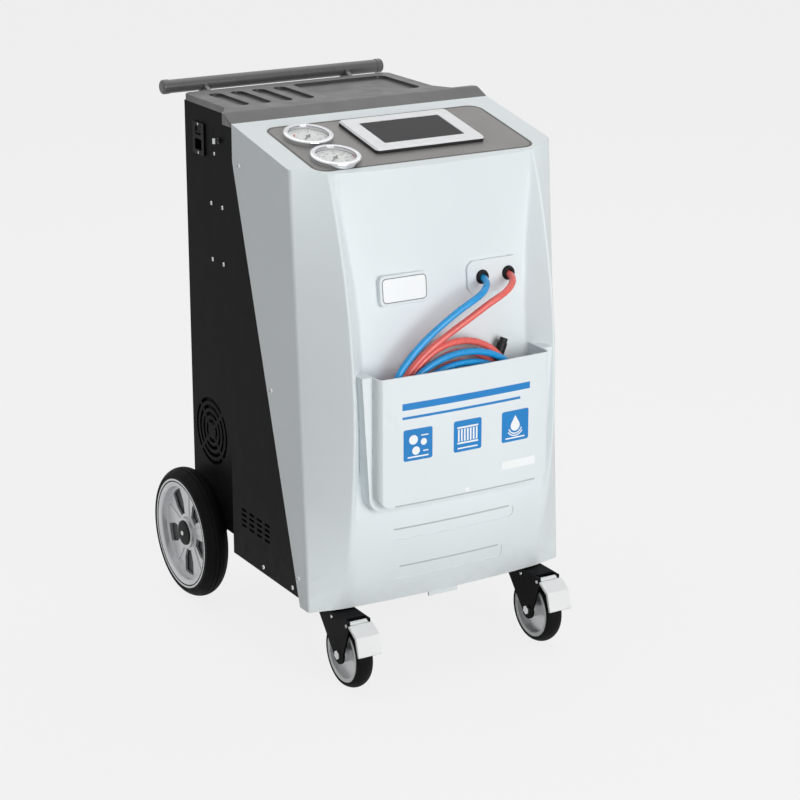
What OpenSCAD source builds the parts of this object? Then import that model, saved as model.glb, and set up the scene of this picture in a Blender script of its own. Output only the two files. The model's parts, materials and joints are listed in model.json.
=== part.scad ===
// Refrigerant recovery trolley for vehicle air conditioning: a sheet-metal cabinet on two
// large rear wheels and two braked front casters, with a moulded front cover, a hose pocket,
// a sloping control panel, a top tray and a push bar.
// Millimetres, +Z up, the front faces -Y, and the origin is on the floor under the middle.

/* [Cabinet] */
// Width over the moulded front cover
body_w = 520; // [505:1:530]
// Width of the narrow rear cabinet
rear_w = 430; // [420:1:440]
// Where the sides step in from the cover's width to the rear cabinet's
step_y = 40; // [36:1:46]
// Rear face of the cabinet
rear_y = 286; // [280:1:296]
// Underside of the cabinet's floor
base_z = 150; // [149:1:156]
// Top of the side and rear panels, where the tray sits
panel_top = 946; // [936:1:956]
// Thickness of the sheet-metal panels
sheet = 2; // [1.5:0.1:2.5]
// Thickness of the floor plate
floor_t = 4; // [3:0.5:5]
// Gap between parts that are fitted together
fit = 0.2; // [0.1:0.05:0.3]
// Radial clearance of pins and shafts that turn
run = 0.05; // [0.02:0.01:0.08]

/* [Front cover] */
// Wall of the moulded cover
wall = 3.5; // [3:0.25:4]
// How far the cover hangs below the cabinet's floor
cover_drop = 12; // [10:0.5:12.5]
// Rear edge of the cover's top
cover_y = 4; // [0:1:8]
// Height of that edge above the panels
cover_rise = 7; // [5:0.5:9]
// Slope of the control surface in degrees
control_tilt = 11.4; // [10:0.2:12.6]
// Distance below the panels' top where the cover's rear edge starts to slant forward
slant_drop = 60; // [50:1:76]
// Where that slanted edge ends at the bottom
slant_y = -223; // [-228:1:-216]
// Forward reach of the front face at the top, beside the corners
face_y = 240; // [236:1:244]
// Distance below the panels' top at which that reach is measured
face_drop = 51; // [41:1:61]
// Forward lean of the front face for each millimetre down
face_lean = 0.105; // [0.095:0.005:0.11]
// Height where the face starts to curve back under
knee_z = 330; // [315:1:345]
// Radius of that curve
knee_r = 370; // [355:1:390]
// Bow of the front face at its middle
face_bow = 10; // [7:0.5:12]
// Half width between the ridges of the two cheeks beside the front face
corner_x = 202; // [198:1:206]
// Forward reach of the ridges where they stand out most
ridge_y = 321.5; // [317:0.5:323]
// Height of that place
ridge_z = 480; // [470:1:490]
// Radius of the ridges' curve, seen from the side
ridge_r = 1120; // [1080:5:1160]
// Forward reach of the edge between side and corner, at the top
corner_y = 204; // [200:1:207]
// Forward lean of that edge for each millimetre down
corner_lean = 0.067; // [0.06:0.001:0.07]
// Rounding of the edge between side and corner
side_round = 6; // [4:0.5:10]
// Rounding of the edge between corner and front
front_round = 5; // [3:0.5:10]
// Depth of the two bands sunk into the lower front
band_depth = 1.8; // [1.2:0.1:2]

/* [Control panel] */
// Width of the dark panel
panel_w = 436; // [426:1:440]
// Its length along the slope
panel_l = 204; // [200:1:206]
// Its thickness
panel_t = 1.5; // [1.2:0.1:1.8]
// Place of its middle along the machine
panel_y = -128; // [-130:1:-126]
// Radius of the gauges' bezels
bezel_r = 44; // [42:0.5:45]
// Height of the bezels above the panel
bezel_h = 10; // [9:0.5:12]
// Radius of the gauges' cases
case_r = 37.5; // [36:0.5:38]
// Distance of the gauges from the machine's centre line
gauge_x = 160; // [157:1:164]
// Distance between the two gauges
gauge_gap = 98; // [94:1:100]
// Width of the screen's bezel
screen_w = 218; // [210:1:222]
// Its length along the slope
screen_l = 140; // [134:1:144]
// Its height above the panel
screen_h = 9; // [8:0.5:11]
// Distance of the screen's middle right of the centre line
screen_x = 28; // [24:1:32]
// Visible width of the display
glass_w = 160; // [154:1:166]
// Visible length of the display
glass_l = 94; // [88:1:98]

/* [Hose pocket] */
// Half width of the pocket at its rim
pocket_x = 172; // [169:1:175]
// Forward reach of the pocket's front at its middle
pocket_y = 354; // [352:1:357]
// Bow of the pocket's front
pocket_bow = 5; // [4:0.5:7]
// Height of the pocket's rim
pocket_top = 571; // [566:1:574]
// Height of the pocket's underside
pocket_z = 340; // [336:1:343]
// Wall of the pocket
pocket_wall = 3; // [2.5:0.25:3.5]
// Half width of the frame round the pocket, at its top
frame_x = 191; // [188:1:193]
// Half width of the frame at its bottom
frame_low_x = 176; // [174:1:180]
// How far the frame reaches below the pocket
frame_drop = 12; // [8:1:14]
// How far the frame stands in front of the ridges
frame_out = 4; // [2:0.5:6]
// Rounding of the pocket's lower corners
pocket_r = 28; // [22:1:32]

/* [Badge and ports] */
// Height of the badge and of the hose ports
port_z = 700; // [694:1:706]
// Distance of the blue hose's port right of the centre line
blue_port_x = 76; // [72:1:80]
// Distance of the red hose's port right of the centre line
red_port_x = 129; // [125:1:133]
// Radius of the hose
hose_r = 6; // [5.5:0.1:6]
// How far the badge and the port plate stand out from the cover
boss_h = 8; // [6:0.5:10]
// Width of the badge
badge_w = 96; // [90:1:100]
// Height of the badge
badge_h = 52; // [46:1:56]
// Width of the port plate
port_plate_w = 112; // [106:1:116]

/* [Tray and push bar] */
// Thickness of the tray
tray_t = 12; // [10:0.5:14]
// Height of the tray's front lip above the tray
lip_h = 8; // [6:0.5:10]
// Where the tray starts to widen towards its lip
flare_y = 122; // [112:1:130]
// Overhang of the tray behind the cabinet
tray_over = 4; // [2:0.5:6]
// Depth of the recesses in the tray
tray_recess = 5; // [4:0.5:6]
// Radius of the push bar
bar_r = 12.5; // [11:0.5:14]
// Half length of the push bar
bar_x = 234; // [226:1:240]
// Place of the push bar behind the cabinet
bar_back = 58; // [54:1:60]
// Height of the push bar above the cabinet's top
bar_rise = 15; // [9:1:20]
// Distance of the bar's brackets from the centre line
bracket_x = 150; // [140:1:165]
// Thickness of those brackets
bracket_t = 8; // [6:0.5:10]

/* [Rear wheels] */
// Radius of the rear tyres
wheel_r = 125; // [120:1:130]
// Width of the rear tyres
wheel_w = 46; // [42:1:48]
// Radius of the rims, under the tyres
rim_r = 100; // [95:1:104]
// Gap between the rear cabinet and the wheels
wheel_gap = 12; // [10:0.5:14]
// Place of the axle behind the middle
axle_y = 236; // [230:1:240]
// Radius of the axle
axle_r = 10; // [8:0.5:11]
// Number of spokes
spokes = 5; // [4:1:6]

/* [Front casters] */
// Radius of the caster wheels
caster_r = 62.5; // [60:0.5:63.5]
// Width of the caster wheels
caster_w = 32; // [28:1:34]
// Distance of the casters from the centre line
caster_x = 197; // [190:1:200]
// Place of the casters' swivel axis
swivel_y = -236; // [-237:1:-230]
// Distance from the swivel axis to the wheel's axle
trail = 50; // [46:1:52]
// Radius of the swivel bearing
race_r = 26; // [24:0.5:26.5]
// Thickness of the fork's legs
fork_t = 4; // [3:0.5:5]
// Width of the brake pedal
pedal_w = 46; // [40:1:50]

/* [Side fittings] */
// Distance of the power inlet from the cabinet's rear face
inlet_back = 60; // [54:1:68]
// Distance of the power inlet below the panels' top
inlet_drop = 61; // [46:1:76]
// Distance of the fan's axis from the cabinet's rear face
fan_back = 80; // [80:1:86]
// Height of the fan
fan_z = 330; // [325:1:340]
// Radius of the fan's opening
fan_r = 68; // [62:1:70]
// Thickness of the fan's frame
fan_t = 38; // [34:1:40]

/* [Hidden] */
$fn = 64;
eps = 0.01;
// Reach of cuts that go right through
thru = 80;
far = 400;

cover_z = base_z - cover_drop;
slant_z = panel_top - slant_drop;
face_top = panel_top - face_drop;
cover_top = panel_top + cover_rise;
skin_x = body_w / 2 - wall - fit;
tray_top = panel_top + tray_t;
lip_top = tray_top + lip_h;

wheel_x = rear_w / 2 + wheel_gap + wheel_w / 2;
hub_in = wheel_w / 2 - 1;
hub_out = wheel_w / 2 - 9;
hub_floor = 2;
nut_r = 14;

race_h = 9;
plate_t = 5;
fork_gap = 0.4;
fork_top = base_z - plate_t - race_h - fork_gap;
crown_t = 5;
fork_back = swivel_y + 22;
axle_at = [swivel_y - trail, caster_r];
leg_x = caster_w / 2 + 2;
caster_pin = 5;
king_r = 6;
pedal_at = axle_at + [-29, caster_r + 2];
pedal_pin = 3;

bar_y = rear_y + bar_back;
bar_z = panel_top + bar_rise;
inlet_y = rear_y - inlet_back;
inlet_z = panel_top - inlet_drop;
fan_y = rear_y - fan_back;

port_x = [blue_port_x, red_port_x];

// Route of the blue hose from its port to its coil, and of its tail to its coupler
blue_run = [
    [blue_port_x, -272, port_z], [blue_port_x - 4.1, -294.2, port_z - 1.7],
    [blue_port_x - 15.6, -313, port_z - 6.6], [43, -325.6, 686], [22.6, -330, 677.4],
    [0, -330.2, 666.5], [-23, -330, 653], [-48, -329.6, 637], [-74, -329.4, 618],
    [-99, -329.5, 596], [-121, -329.5, 570], [-136, -330.5, 540], [-142, -331, 514],
    [-142, -331, 490]];
blue_tail = [
    [96.5, -331, 468.5], [92.1, -331, 491], [78.9, -331, 510.9], [59, -331, 524.1],
    [36.5, -331, 528.5]];
blue_layer = -331;
// Route of the red hose, which lies behind the blue one
red_run = [
    [red_port_x, -272, port_z], [red_port_x - 4.1, -294.2, port_z - 1.7],
    [red_port_x - 15.6, -313, port_z - 6.6], [96, -325.6, 686], [75.6, -330, 677.4],
    [53, -329.6, 666.5], [31, -328.5, 654], [6, -327, 640], [-20, -325, 625],
    [-48, -322, 607], [-75, -319.5, 586], [-97, -318, 563], [-113, -317.5, 538],
    [-120.5, -317, 516], [-122, -317, 496]];
red_tail = [
    [76.5, -317, 479.5], [77.3, -314.8, 497], [80, -308.6, 515], [84.2, -302.5, 532.5],
    [90, -299.6, 550]];
red_layer = -317;
coupler_r = 9;
grommet_r = hose_r + 3;

// Chosen node, or all of them

white = [0.88, 0.91, 0.92];
black = [0.12, 0.12, 0.13];
grey = [0.55, 0.57, 0.58];
dark = [0.3, 0.3, 0.31];
chrome = [0.78, 0.79, 0.8];
blue = [0.1, 0.55, 0.85];
red = [0.9, 0.35, 0.33];

// A rectangle with round corners, about its middle
module round_rect(w, h, r) {
    square([w - 2 * r, h], center = true);
    square([w, h - 2 * r], center = true);
    for (x = [-1, 1], y = [-1, 1])
        translate([x * (w / 2 - r), y * (h / 2 - r)])
            circle(r);
}

// A slot with round ends along Y, about its middle
module slot(w, h) {
    square([w, h - w], center = true);
    for (s = [-1, 1])
        translate([0, s * (h - w) / 2])
            circle(w / 2);
}

// A profile drawn in Y and Z, drawn out along X from x0 to x1
module along_x(x0, x1) {
    translate([x0, 0, 0])
        rotate([90, 0, 90])
            linear_extrude(x1 - x0)
                children();
}

// A profile drawn in X and Z, drawn out along Y from y0 forward to y1
module along_y(y0, y1) {
    translate([0, y0, 0])
        rotate([90, 0, 0])
            linear_extrude(y0 - y1)
                children();
}

// A rod along X from x0 to x1
module rod_x(r, x0, x1) {
    translate([x0, 0, 0])
        rotate([0, 90, 0])
            cylinder(r = r, h = x1 - x0);
}

// A closed solid through rings of points
module skin(rings) {
    n = len(rings[0]);
    m = len(rings);
    polyhedron(
        points = [for (ring = rings) each ring],
        faces = concat(
            [[for (i = [0:n - 1]) i]],
            [[for (i = [0:n - 1]) m * n - 1 - i]],
            [for (k = [0:m - 2], i = [0:n - 1]) each
                let (j = (i + 1) % n, a = k * n, b = a + n)
                [[a + i, b + i, b + j], [a + i, b + j, a + j]]]));
}

function unit(v) = v / norm(v);

// A round tube along a list of points
function tube_ring(p, t, r) =
    let (u = unit(cross([1, 0, -1], t)), v = cross(t, u))
    [for (k = [0:9]) p + r * (cos(36 * k) * u + sin(36 * k) * v)];
function tube_rings(path, r) =
    let (last = len(path) - 1)
    [for (i = [0:last])
        tube_ring(path[i], unit(path[min(i + 1, last)] - path[max(i - 1, 0)]), r)];

// The cover's moulded form

// A rounded corner between two straight edges
function bend(p, c, q, n) =
    [for (i = [0:n]) let (t = i / n) (1 - t) * (1 - t) * p + 2 * t * (1 - t) * c + t * t * q];

// Inner flank of a cheek: its least width, its slope and the rounding at its foot
foot_min = 13;
foot_slope = 0.85;
foot_round = 6;

// Forward reach of the front face beside its corners: a lean that curves back under
lean_n = 1 / sqrt(1 + face_lean * face_lean);
knee_mid = [face_y + face_lean * (face_top - knee_z) - knee_r * lean_n,
            knee_z - knee_r * face_lean * lean_n];
function face(z) = z > knee_z
    ? face_y + face_lean * (face_top - z)
    : knee_mid[0] + sqrt(knee_r * knee_r - (z - knee_mid[1]) * (z - knee_mid[1]));
// Forward reach of the ridges, and how far they stand out from the face
function ridge(z) = ridge_y - ridge_r + sqrt(ridge_r * ridge_r - (z - ridge_z) * (z - ridge_z));
function rise(z) = max(0, ridge(z) - face(z));
function bow(x) = face_bow * (1 - (x / corner_x) * (x / corner_x));
function corner(z) = corner_y + corner_lean * (face_top - z);

// Outline of the cover at one height, drawn inwards by a gap
function half_outline(z, gap) =
    let (
        side = [gap - body_w / 2, gap - corner(z)],
        top = [0.25 * gap - corner_x, gap * (1 + 0.012 * rise(z)) - ridge(z)],
        x1 = max(foot_min, foot_slope * rise(z)) - corner_x - 0.4 * gap,
        foot = [x1, gap - face(z) - bow(x1)],
        x2 = x1 + foot_round,
        along = unit(top - side),
        down = unit(foot - top))
    concat(
        [[side[0], step_y + 20 + 4 * gap]],
        bend(side + [0, side_round], side, side + side_round * along, 4),
        bend(top - front_round * along, top, top + front_round * down, 4),
        bend(foot - foot_round * down, foot, [x2, gap - face(z) - bow(x2)], 3),
        [for (k = [1:4]) let (x = x2 * (1 - k / 4)) [x, gap - face(z) - bow(x)]]);
function outline(z, gap) =
    let (half = half_outline(z, gap), n = len(half))
    concat(
        [for (p = half) [p[0], p[1], z]],
        [for (i = [n - 2:-1:0]) [-half[i][0], half[i][1], z]]);
function levels(z0) = concat(
    [for (k = [0:7]) z0 + (knee_z - z0) * k / 7],
    [for (k = [1:10]) knee_z + (cover_top + 30 - knee_z) * k / 10]);

module cover_form(gap) {
    skin([for (z = levels(cover_z - gap)) outline(z, gap)]);
}

// The cover's outline at its lower edge
module cover_edge(gap) {
    polygon([for (p = outline(cover_z, gap)) [p[0], p[1]]]);
}

function control_z(y) = cover_top + tan(control_tilt) * (y - cover_y);

// Everything under the control surface and in front of the slanted side edge
module cover_side(gap, drop) {
    along_x(-body_w, body_w)
        polygon([
            [-2 * face_y, cover_z - drop], [slant_y + gap, cover_z - drop],
            [cover_y + gap, slant_z], [cover_y + gap, control_z(cover_y + gap) - gap],
            [-2 * face_y, control_z(-2 * face_y) - gap]]);
}

// The frame of the control surface: its local Z stands off the slope
module on_control(x = 0, v = 0) {
    translate([0, panel_y, control_z(panel_y)])
        rotate([control_tilt, 0, 0])
            translate([x, v, 0])
                children();
}

// The frame of the front face at a place on it: its local -Y points out
module on_face(x, z) {
    translate([x, -face(z) - bow(x), z])
        rotate([-atan(face_lean), 0, 0])
            children();
}

panel_r = 25;
gauge_v = -8;
low_at = [-gauge_x, gauge_v + gauge_gap / 2];
high_at = [-gauge_x, gauge_v - gauge_gap / 2];
screen_at = [screen_x, 12];
// The screen's housing behind the panel
box_w = glass_w + 24;
box_l = glass_l + 24;
box_deep = 30;

module at_low() on_control(low_at[0], low_at[1]) children();
module at_high() on_control(high_at[0], high_at[1]) children();

module front_cover() {
    band_top = [284, 210];
    band_w = [254, 222];
    band_h = [22, 28];
    tab_w = 60;
    tab_h = 8;
    color(white) {
        difference() {
            intersection() {
                cover_form(0);
                cover_side(0, 0);
            }
            intersection() {
                cover_form(wall);
                cover_side(wall, 2 * wall);
            }
            along_x(-body_w, body_w)
                polygon([
                    [slant_y, cover_z - 1], [cover_y, slant_z], [cover_y, lip_top],
                    [2 * step_y, lip_top], [2 * step_y, cover_z - 1]]);
            on_control()
                translate([0, 0, -panel_t])
                    linear_extrude(2 * panel_t)
                        round_rect(panel_w + 2 * fit, panel_l + 2 * fit, panel_r);
            for (at = [low_at, high_at])
                on_control(at[0], at[1])
                    cylinder(r = case_r + fit, h = thru, center = true);
            on_control(screen_at[0], screen_at[1])
                cube([box_w + 2 * fit, box_l + 2 * fit, thru], center = true);
            for (x = port_x)
                on_face(x, port_z)
                    rotate([90, 0, 0])
                        cylinder(r = grommet_r + fit, h = thru, center = true);
            for (i = [0, 1])
                difference() {
                    along_y(0, -far)
                        translate([0, band_top[i] - band_h[i] / 2])
                            round_rect(band_w[i], band_h[i], 9);
                    cover_form(band_depth);
                }
        }
        translate([0, 0, cover_z - tab_h])
            linear_extrude(tab_h + eps)
                intersection() {
                    difference() {
                        cover_edge(0);
                        cover_edge(wall);
                    }
                    translate([-tab_w / 2, -far])
                        square([tab_w, far]);
                }
    }
}

// The pocket's plan: a bowed front with round corners, drawn inwards by a gap
module pocket_plan(gap) {
    w = pocket_x - gap;
    d = pocket_y - gap;
    bow_r = (pocket_x * pocket_x + pocket_bow * pocket_bow) / (2 * pocket_bow);
    r = 20 - gap;
    intersection() {
        translate([0, bow_r - pocket_y])
            circle(bow_r - gap, $fn = 256);
        translate([0, -d / 2])
            round_rect(2 * w, d, r);
    }
}

module pocket_front(gap) {
    low = pocket_z + gap;
    translate([0, (pocket_top + 100 + low) / 2])
        round_rect(2 * (pocket_x - gap), pocket_top + 100 - low, pocket_r - gap);
}

module pocket_solid(gap) {
    intersection() {
        translate([0, 0, pocket_z - 10])
            linear_extrude(pocket_top + 20 - pocket_z)
                pocket_plan(gap);
        along_y(0, -far)
            pocket_front(gap);
    }
}

// The frame seen from the front, drawn inwards by a gap
module frame_front(gap) {
    high = pocket_top + 100;
    low = pocket_z - frame_drop;
    grow = (frame_x - frame_low_x) * (high - low) / (pocket_top - low);
    offset(r = pocket_r - gap)
        offset(delta = -pocket_r)
            polygon([
                [-frame_low_x, low], [frame_low_x, low],
                [frame_low_x + grow, high], [-frame_low_x - grow, high]]);
}

module hose_pocket() {
    front = ridge_y + frame_out;
    color(white)
        difference() {
            union() {
                pocket_solid(0);
                difference() {
                    along_y(0, -front)
                        frame_front(0);
                    intersection() {
                        along_y(0, pocket_wall - front)
                            frame_front(pocket_wall);
                        translate([-body_w, -far, 0])
                            cube([2 * body_w, far, pocket_top - pocket_wall]);
                    }
                }
            }
            pocket_solid(pocket_wall);
            cover_form(-fit / 2);
            translate([-body_w, -body_w, pocket_top])
                cube([2 * body_w, 2 * body_w, 200]);
        }
}

// A raised plate on the front face, seated against the cover
module face_boss(x, w, h, r) {
    difference() {
        on_face(x, port_z)
            along_y(12, -boss_h)
                round_rect(w, h, r);
        cover_form(-fit / 2);
    }
}

badge_x = -80;
port_mid = (port_x[0] + port_x[1]) / 2;

module badge_plate() {
    color(white)
        face_boss(badge_x, badge_w, badge_h, 9);
}

module port_plate() {
    color(white)
        difference() {
            face_boss(port_mid, port_plate_w, badge_h + 6, 16);
            for (x = port_x)
                on_face(x, port_z)
                    rotate([90, 0, 0])
                        cylinder(r = grommet_r + fit, h = thru, center = true);
        }
}

grommet_lip = 5;

module hose_grommets() {
    color(black)
        for (x = port_x) {
            stand = boss_h + bow(port_mid) - bow(x);
            on_face(x, port_z)
                rotate([90, 0, 0])
                    difference() {
                        union() {
                            translate([0, 0, -wall])
                                cylinder(r = grommet_r, h = wall + stand);
                            translate([0, 0, stand + fit])
                                cylinder(r1 = grommet_r + 4, r2 = grommet_r + 1.5, h = grommet_lip);
                            translate([0, 0, stand - eps])
                                cylinder(r = grommet_r, h = fit + 2 * eps);
                        }
                        cylinder(r = hose_r + fit, h = thru, center = true);
                    }
        }
}

// Sheet-metal cabinet

module floor_outline() {
    front_y = fit + wall - face(cover_z);
    side_y = fit + wall - corner(base_z);
    polygon([
        [-skin_x + sheet + fit, step_y - sheet - fit],
        [-skin_x + sheet + fit, side_y + side_round],
        [-corner_x + 6, front_y + 4],
        [corner_x - 6, front_y + 4],
        [skin_x - sheet - fit, side_y + side_round],
        [skin_x - sheet - fit, step_y - sheet - fit],
        [rear_w / 2 - sheet - fit, step_y - sheet - fit],
        [rear_w / 2 - sheet - fit, rear_y - sheet - fit],
        [-rear_w / 2 + sheet + fit, rear_y - sheet - fit],
        [-rear_w / 2 + sheet + fit, step_y - sheet - fit]]);
}

module chassis_floor() {
    color(black)
        translate([0, 0, base_z])
            difference() {
                linear_extrude(floor_t)
                    floor_outline();
                for (x = [-1, 1])
                    translate([x * caster_x, swivel_y, -1])
                        cylinder(r = king_r + 4, h = floor_t + 2);
            }
}

// One side seen from above: a front leaf, a step inwards and a rear leaf
module side_plan() {
    r = rear_w / 2;
    polygon([
        [skin_x, slant_y], [skin_x, step_y], [r, step_y], [r, rear_y],
        [r - sheet, rear_y], [r - sheet, step_y - sheet], [skin_x - sheet, step_y - sheet],
        [skin_x - sheet, slant_y]]);
}

vent_y = -50;
vent_z = 232;
vent_step = [30, 10];
cut = 10;

// The panel's front edge follows the cover's slanted edge, a little inside it
module side_sheet() {
    lap = 16;
    intersection() {
        translate([0, 0, base_z])
            linear_extrude(panel_top - base_z)
                side_plan();
        along_x(0, body_w)
            polygon([
                [slant_y - lap, base_z], [cover_y - lap, slant_z], [cover_y - lap, panel_top],
                [rear_y, panel_top], [rear_y, base_z]]);
    }
}

module side_vents() {
    for (c = [-1.5:1:1.5], row = [-1.5:1:1.5])
        along_x(skin_x - cut, skin_x + cut)
            translate([vent_y + vent_step[0] * c, vent_z + vent_step[1] * row])
                rotate(90)
                    slot(5, 20);
}

module right_side_panel() {
    color(black)
        difference() {
            side_sheet();
            side_vents();
        }
}

module left_side_panel() {
    color(black)
        mirror([1, 0, 0])
            difference() {
                side_sheet();
                side_vents();
                along_x(rear_w / 2 - cut, rear_w / 2 + cut)
                    translate([inlet_y, inlet_z])
                        square([inlet_body[0] + 2 * fit, inlet_body[1] + 2 * fit], center = true);
                fan_grille();
            }
}

// Rings of slots in the panel before the fan
module fan_grille() {
    ring_w = 7;
    ring_step = 14;
    bridge = 7;
    along_x(rear_w / 2 - cut, rear_w / 2 + cut)
        translate([fan_y, fan_z])
            difference() {
                for (r = [fan_r - ring_w:-ring_step:ring_step])
                    difference() {
                        circle(r + ring_w / 2);
                        circle(r - ring_w / 2);
                    }
                for (a = [45, 135])
                    rotate(a)
                        square([3 * fan_r, bridge], center = true);
            }
}

module rear_panel() {
    louvres = 6;
    louvre_x = 90;
    louvre_z = 110;
    louvre_step = 22;
    louvre_l = 110;
    color(black)
        difference() {
            translate([-rear_w / 2 + sheet + fit, rear_y - sheet, base_z])
                cube([rear_w - 2 * sheet - 2 * fit, sheet, panel_top - base_z]);
            for (x = [-1, 1], k = [0:louvres - 1])
                along_y(rear_y + cut, rear_y - cut)
                    translate([x * louvre_x, base_z + louvre_z + louvre_step * k])
                        rotate(90)
                            slot(8, louvre_l);
        }
}

// Top tray and push bar

module tray_plan() {
    w = body_w / 2;
    r = rear_w / 2;
    back = rear_y + tray_over;
    polygon([
        [-w, step_y], [w, step_y], [r, flare_y], [r, back - 10], [r - 10, back],
        [10 - r, back], [-r, back - 10], [-r, flare_y]]);
}

module top_tray() {
    nose_y = cover_y + fit;
    slot_w = 26;
    slot_l = 130;
    slot_x = -172;
    slot_step = 44;
    deck_x = 92;
    slot_y = 190;
    deck_w = 196;
    deck_l = 148;
    color(dark)
        difference() {
            union() {
                translate([0, 0, panel_top])
                    linear_extrude(tray_t)
                        tray_plan();
                along_x(-body_w / 2, body_w / 2)
                    polygon([
                        [nose_y, panel_top], [nose_y, cover_top], [step_y - 8, lip_top - 1.5],
                        [step_y - 3, lip_top], [step_y + 8, lip_top], [step_y + 14, tray_top],
                        [step_y + 14, panel_top]]);
            }
            // Flared ends of the lip
            for (s = [0, 1])
                mirror([s, 0, 0])
                    translate([0, 0, panel_top - 20])
                        linear_extrude(tray_t + lip_h + 40)
                            polygon([
                                [body_w / 2, step_y], [rear_w / 2, flare_y],
                                [body_w, flare_y], [body_w, step_y]]);
            for (k = [0:3])
                translate([slot_x + slot_step * k, slot_y, tray_top - tray_recess])
                    linear_extrude(tray_recess + 1)
                        slot(slot_w, slot_l);
            translate([deck_x, slot_y, tray_top - tray_recess])
                linear_extrude(tray_recess + 1)
                    round_rect(deck_w, deck_l, 14);
        }
}

module push_bar() {
    cap_l = 14;
    color(black)
        translate([0, bar_y, bar_z]) {
            rod_x(bar_r, -bar_x + cap_l, bar_x - cap_l);
            for (s = [0, 1])
                mirror([s, 0, 0])
                    translate([bar_x - cap_l, 0, 0])
                        rotate([0, 90, 0])
                            rotate_extrude()
                                difference() {
                                    union() {
                                        square([bar_r + 1, cap_l - 5]);
                                        square([bar_r - 4, cap_l]);
                                        translate([bar_r - 4, cap_l - 5])
                                            circle(5);
                                    }
                                    translate([-20, -20])
                                        square([20, 60]);
                                }
        }
}

// Side view of a bracket: an arm that ends in a cradle under the bar
module saddle(top, foot, ring) {
    difference() {
        union() {
            polygon([
                [rear_y, top - foot], [rear_y, top], [rear_y + tray_over + 2, top],
                [bar_y - bar_r, bar_z], [bar_y, bar_z - ring]]);
            translate([bar_y, bar_z])
                circle(ring);
        }
        translate([bar_y - 2 * ring, bar_z + 1])
            square(4 * ring);
    }
}

module bar_brackets() {
    foot = 70;
    foot_w = 44;
    foot_t = 4;
    arm_top = panel_top - 2;
    color(black)
        for (s = [-1, 1])
            difference() {
                union() {
                    along_x(s * bracket_x - bracket_t / 2, s * bracket_x + bracket_t / 2)
                        saddle(arm_top, foot, bar_r + 5);
                    translate([s * bracket_x - foot_w / 2, rear_y, arm_top - foot])
                        cube([foot_w, foot_t, foot]);
                }
                translate([0, bar_y, bar_z])
                    rod_x(bar_r + fit, s * bracket_x - thru, s * bracket_x + thru);
            }
}

// Control panel, gauges and screen

module control_panel() {
    color(dark)
        on_control()
            translate([0, 0, -panel_t])
                difference() {
                    linear_extrude(panel_t)
                        round_rect(panel_w, panel_l, panel_r - fit);
                    for (at = [low_at, high_at])
                        translate([at[0], at[1], -1])
                            cylinder(r = case_r + fit, h = 10);
                    translate([screen_at[0], screen_at[1], 0])
                        cube([box_w + 2 * fit, box_l + 2 * fit, thru], center = true);
                }
}

needle_pin = 1.5;
dial_t = 1;
dial_z = 1;
lens_z = bezel_h - 3;
ledge = 1.5;

module gauge_case() {
    case_deep = 36;
    stem_r = 8;
    stem_l = 14;
    color(black)
        difference() {
            union() {
                translate([0, 0, -case_deep])
                    cylinder(r = case_r, h = case_deep + dial_z);
                translate([0, 0, -case_deep - stem_l])
                    cylinder(r = stem_r, h = stem_l + eps);
            }
            translate([0, 0, -6])
                cylinder(r = needle_pin + run, h = 10);
        }
}

module gauge_dial() {
    color([0.95, 0.95, 0.93])
        translate([0, 0, dial_z])
            difference() {
                cylinder(r = case_r - 1, h = dial_t);
                translate([0, 0, -1])
                    cylinder(r = needle_pin + run, h = 5);
            }
}

module gauge_bezel() {
    inner = case_r + fit;
    color(chrome)
        rotate_extrude()
            difference() {
                union() {
                    translate([inner - 3, 0])
                        square([bezel_r - inner + 3, bezel_h - 3]);
                    translate([inner - 3, 0])
                        square([bezel_r - inner, bezel_h]);
                    translate([bezel_r - 3, bezel_h - 3])
                        circle(3, $fn = 32);
                }
                translate([0, -1])
                    square([inner, lens_z - ledge + 1]);
                translate([0, lens_z - ledge - 1])
                    square([inner - ledge, ledge + 2]);
                translate([0, lens_z])
                    square([inner, 1.5]);
                translate([0, bezel_h - 2])
                    square([inner - 2.5, 4]);
            }
}

module gauge_lens() {
    color([0.9, 0.95, 0.97, 0.4])
        translate([0, 0, lens_z])
            cylinder(r = case_r, h = 1.5 - fit);
}

module gauge_needle() {
    needle_z = dial_z + dial_t + 0.8;
    needle_l = 28;
    needle_tail = 9;
    color(black) {
        translate([0, 0, -5])
            cylinder(r = needle_pin, h = needle_z + 6);
        translate([0, 0, needle_z]) {
            cylinder(r = 4, h = 1);
            linear_extrude(1)
                rotate(225)
                    polygon([
                        [-needle_tail, -1.6], [-needle_tail, 1.6], [needle_l - 2, 0.6],
                        [needle_l, 0], [needle_l - 2, -0.6]]);
        }
    }
}

module low_gauge_case() at_low() gauge_case();
module low_gauge_bezel() at_low() gauge_bezel();
module low_gauge_dial() at_low() gauge_dial();
module low_gauge_lens() at_low() gauge_lens();
module low_gauge_needle() at_low() gauge_needle();
module high_gauge_case() at_high() gauge_case();
module high_gauge_bezel() at_high() gauge_bezel();
module high_gauge_dial() at_high() gauge_dial();
module high_gauge_lens() at_high() gauge_lens();
module high_gauge_needle() at_high() gauge_needle();

glass_t = 2;
glass_lap = 5;

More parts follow.
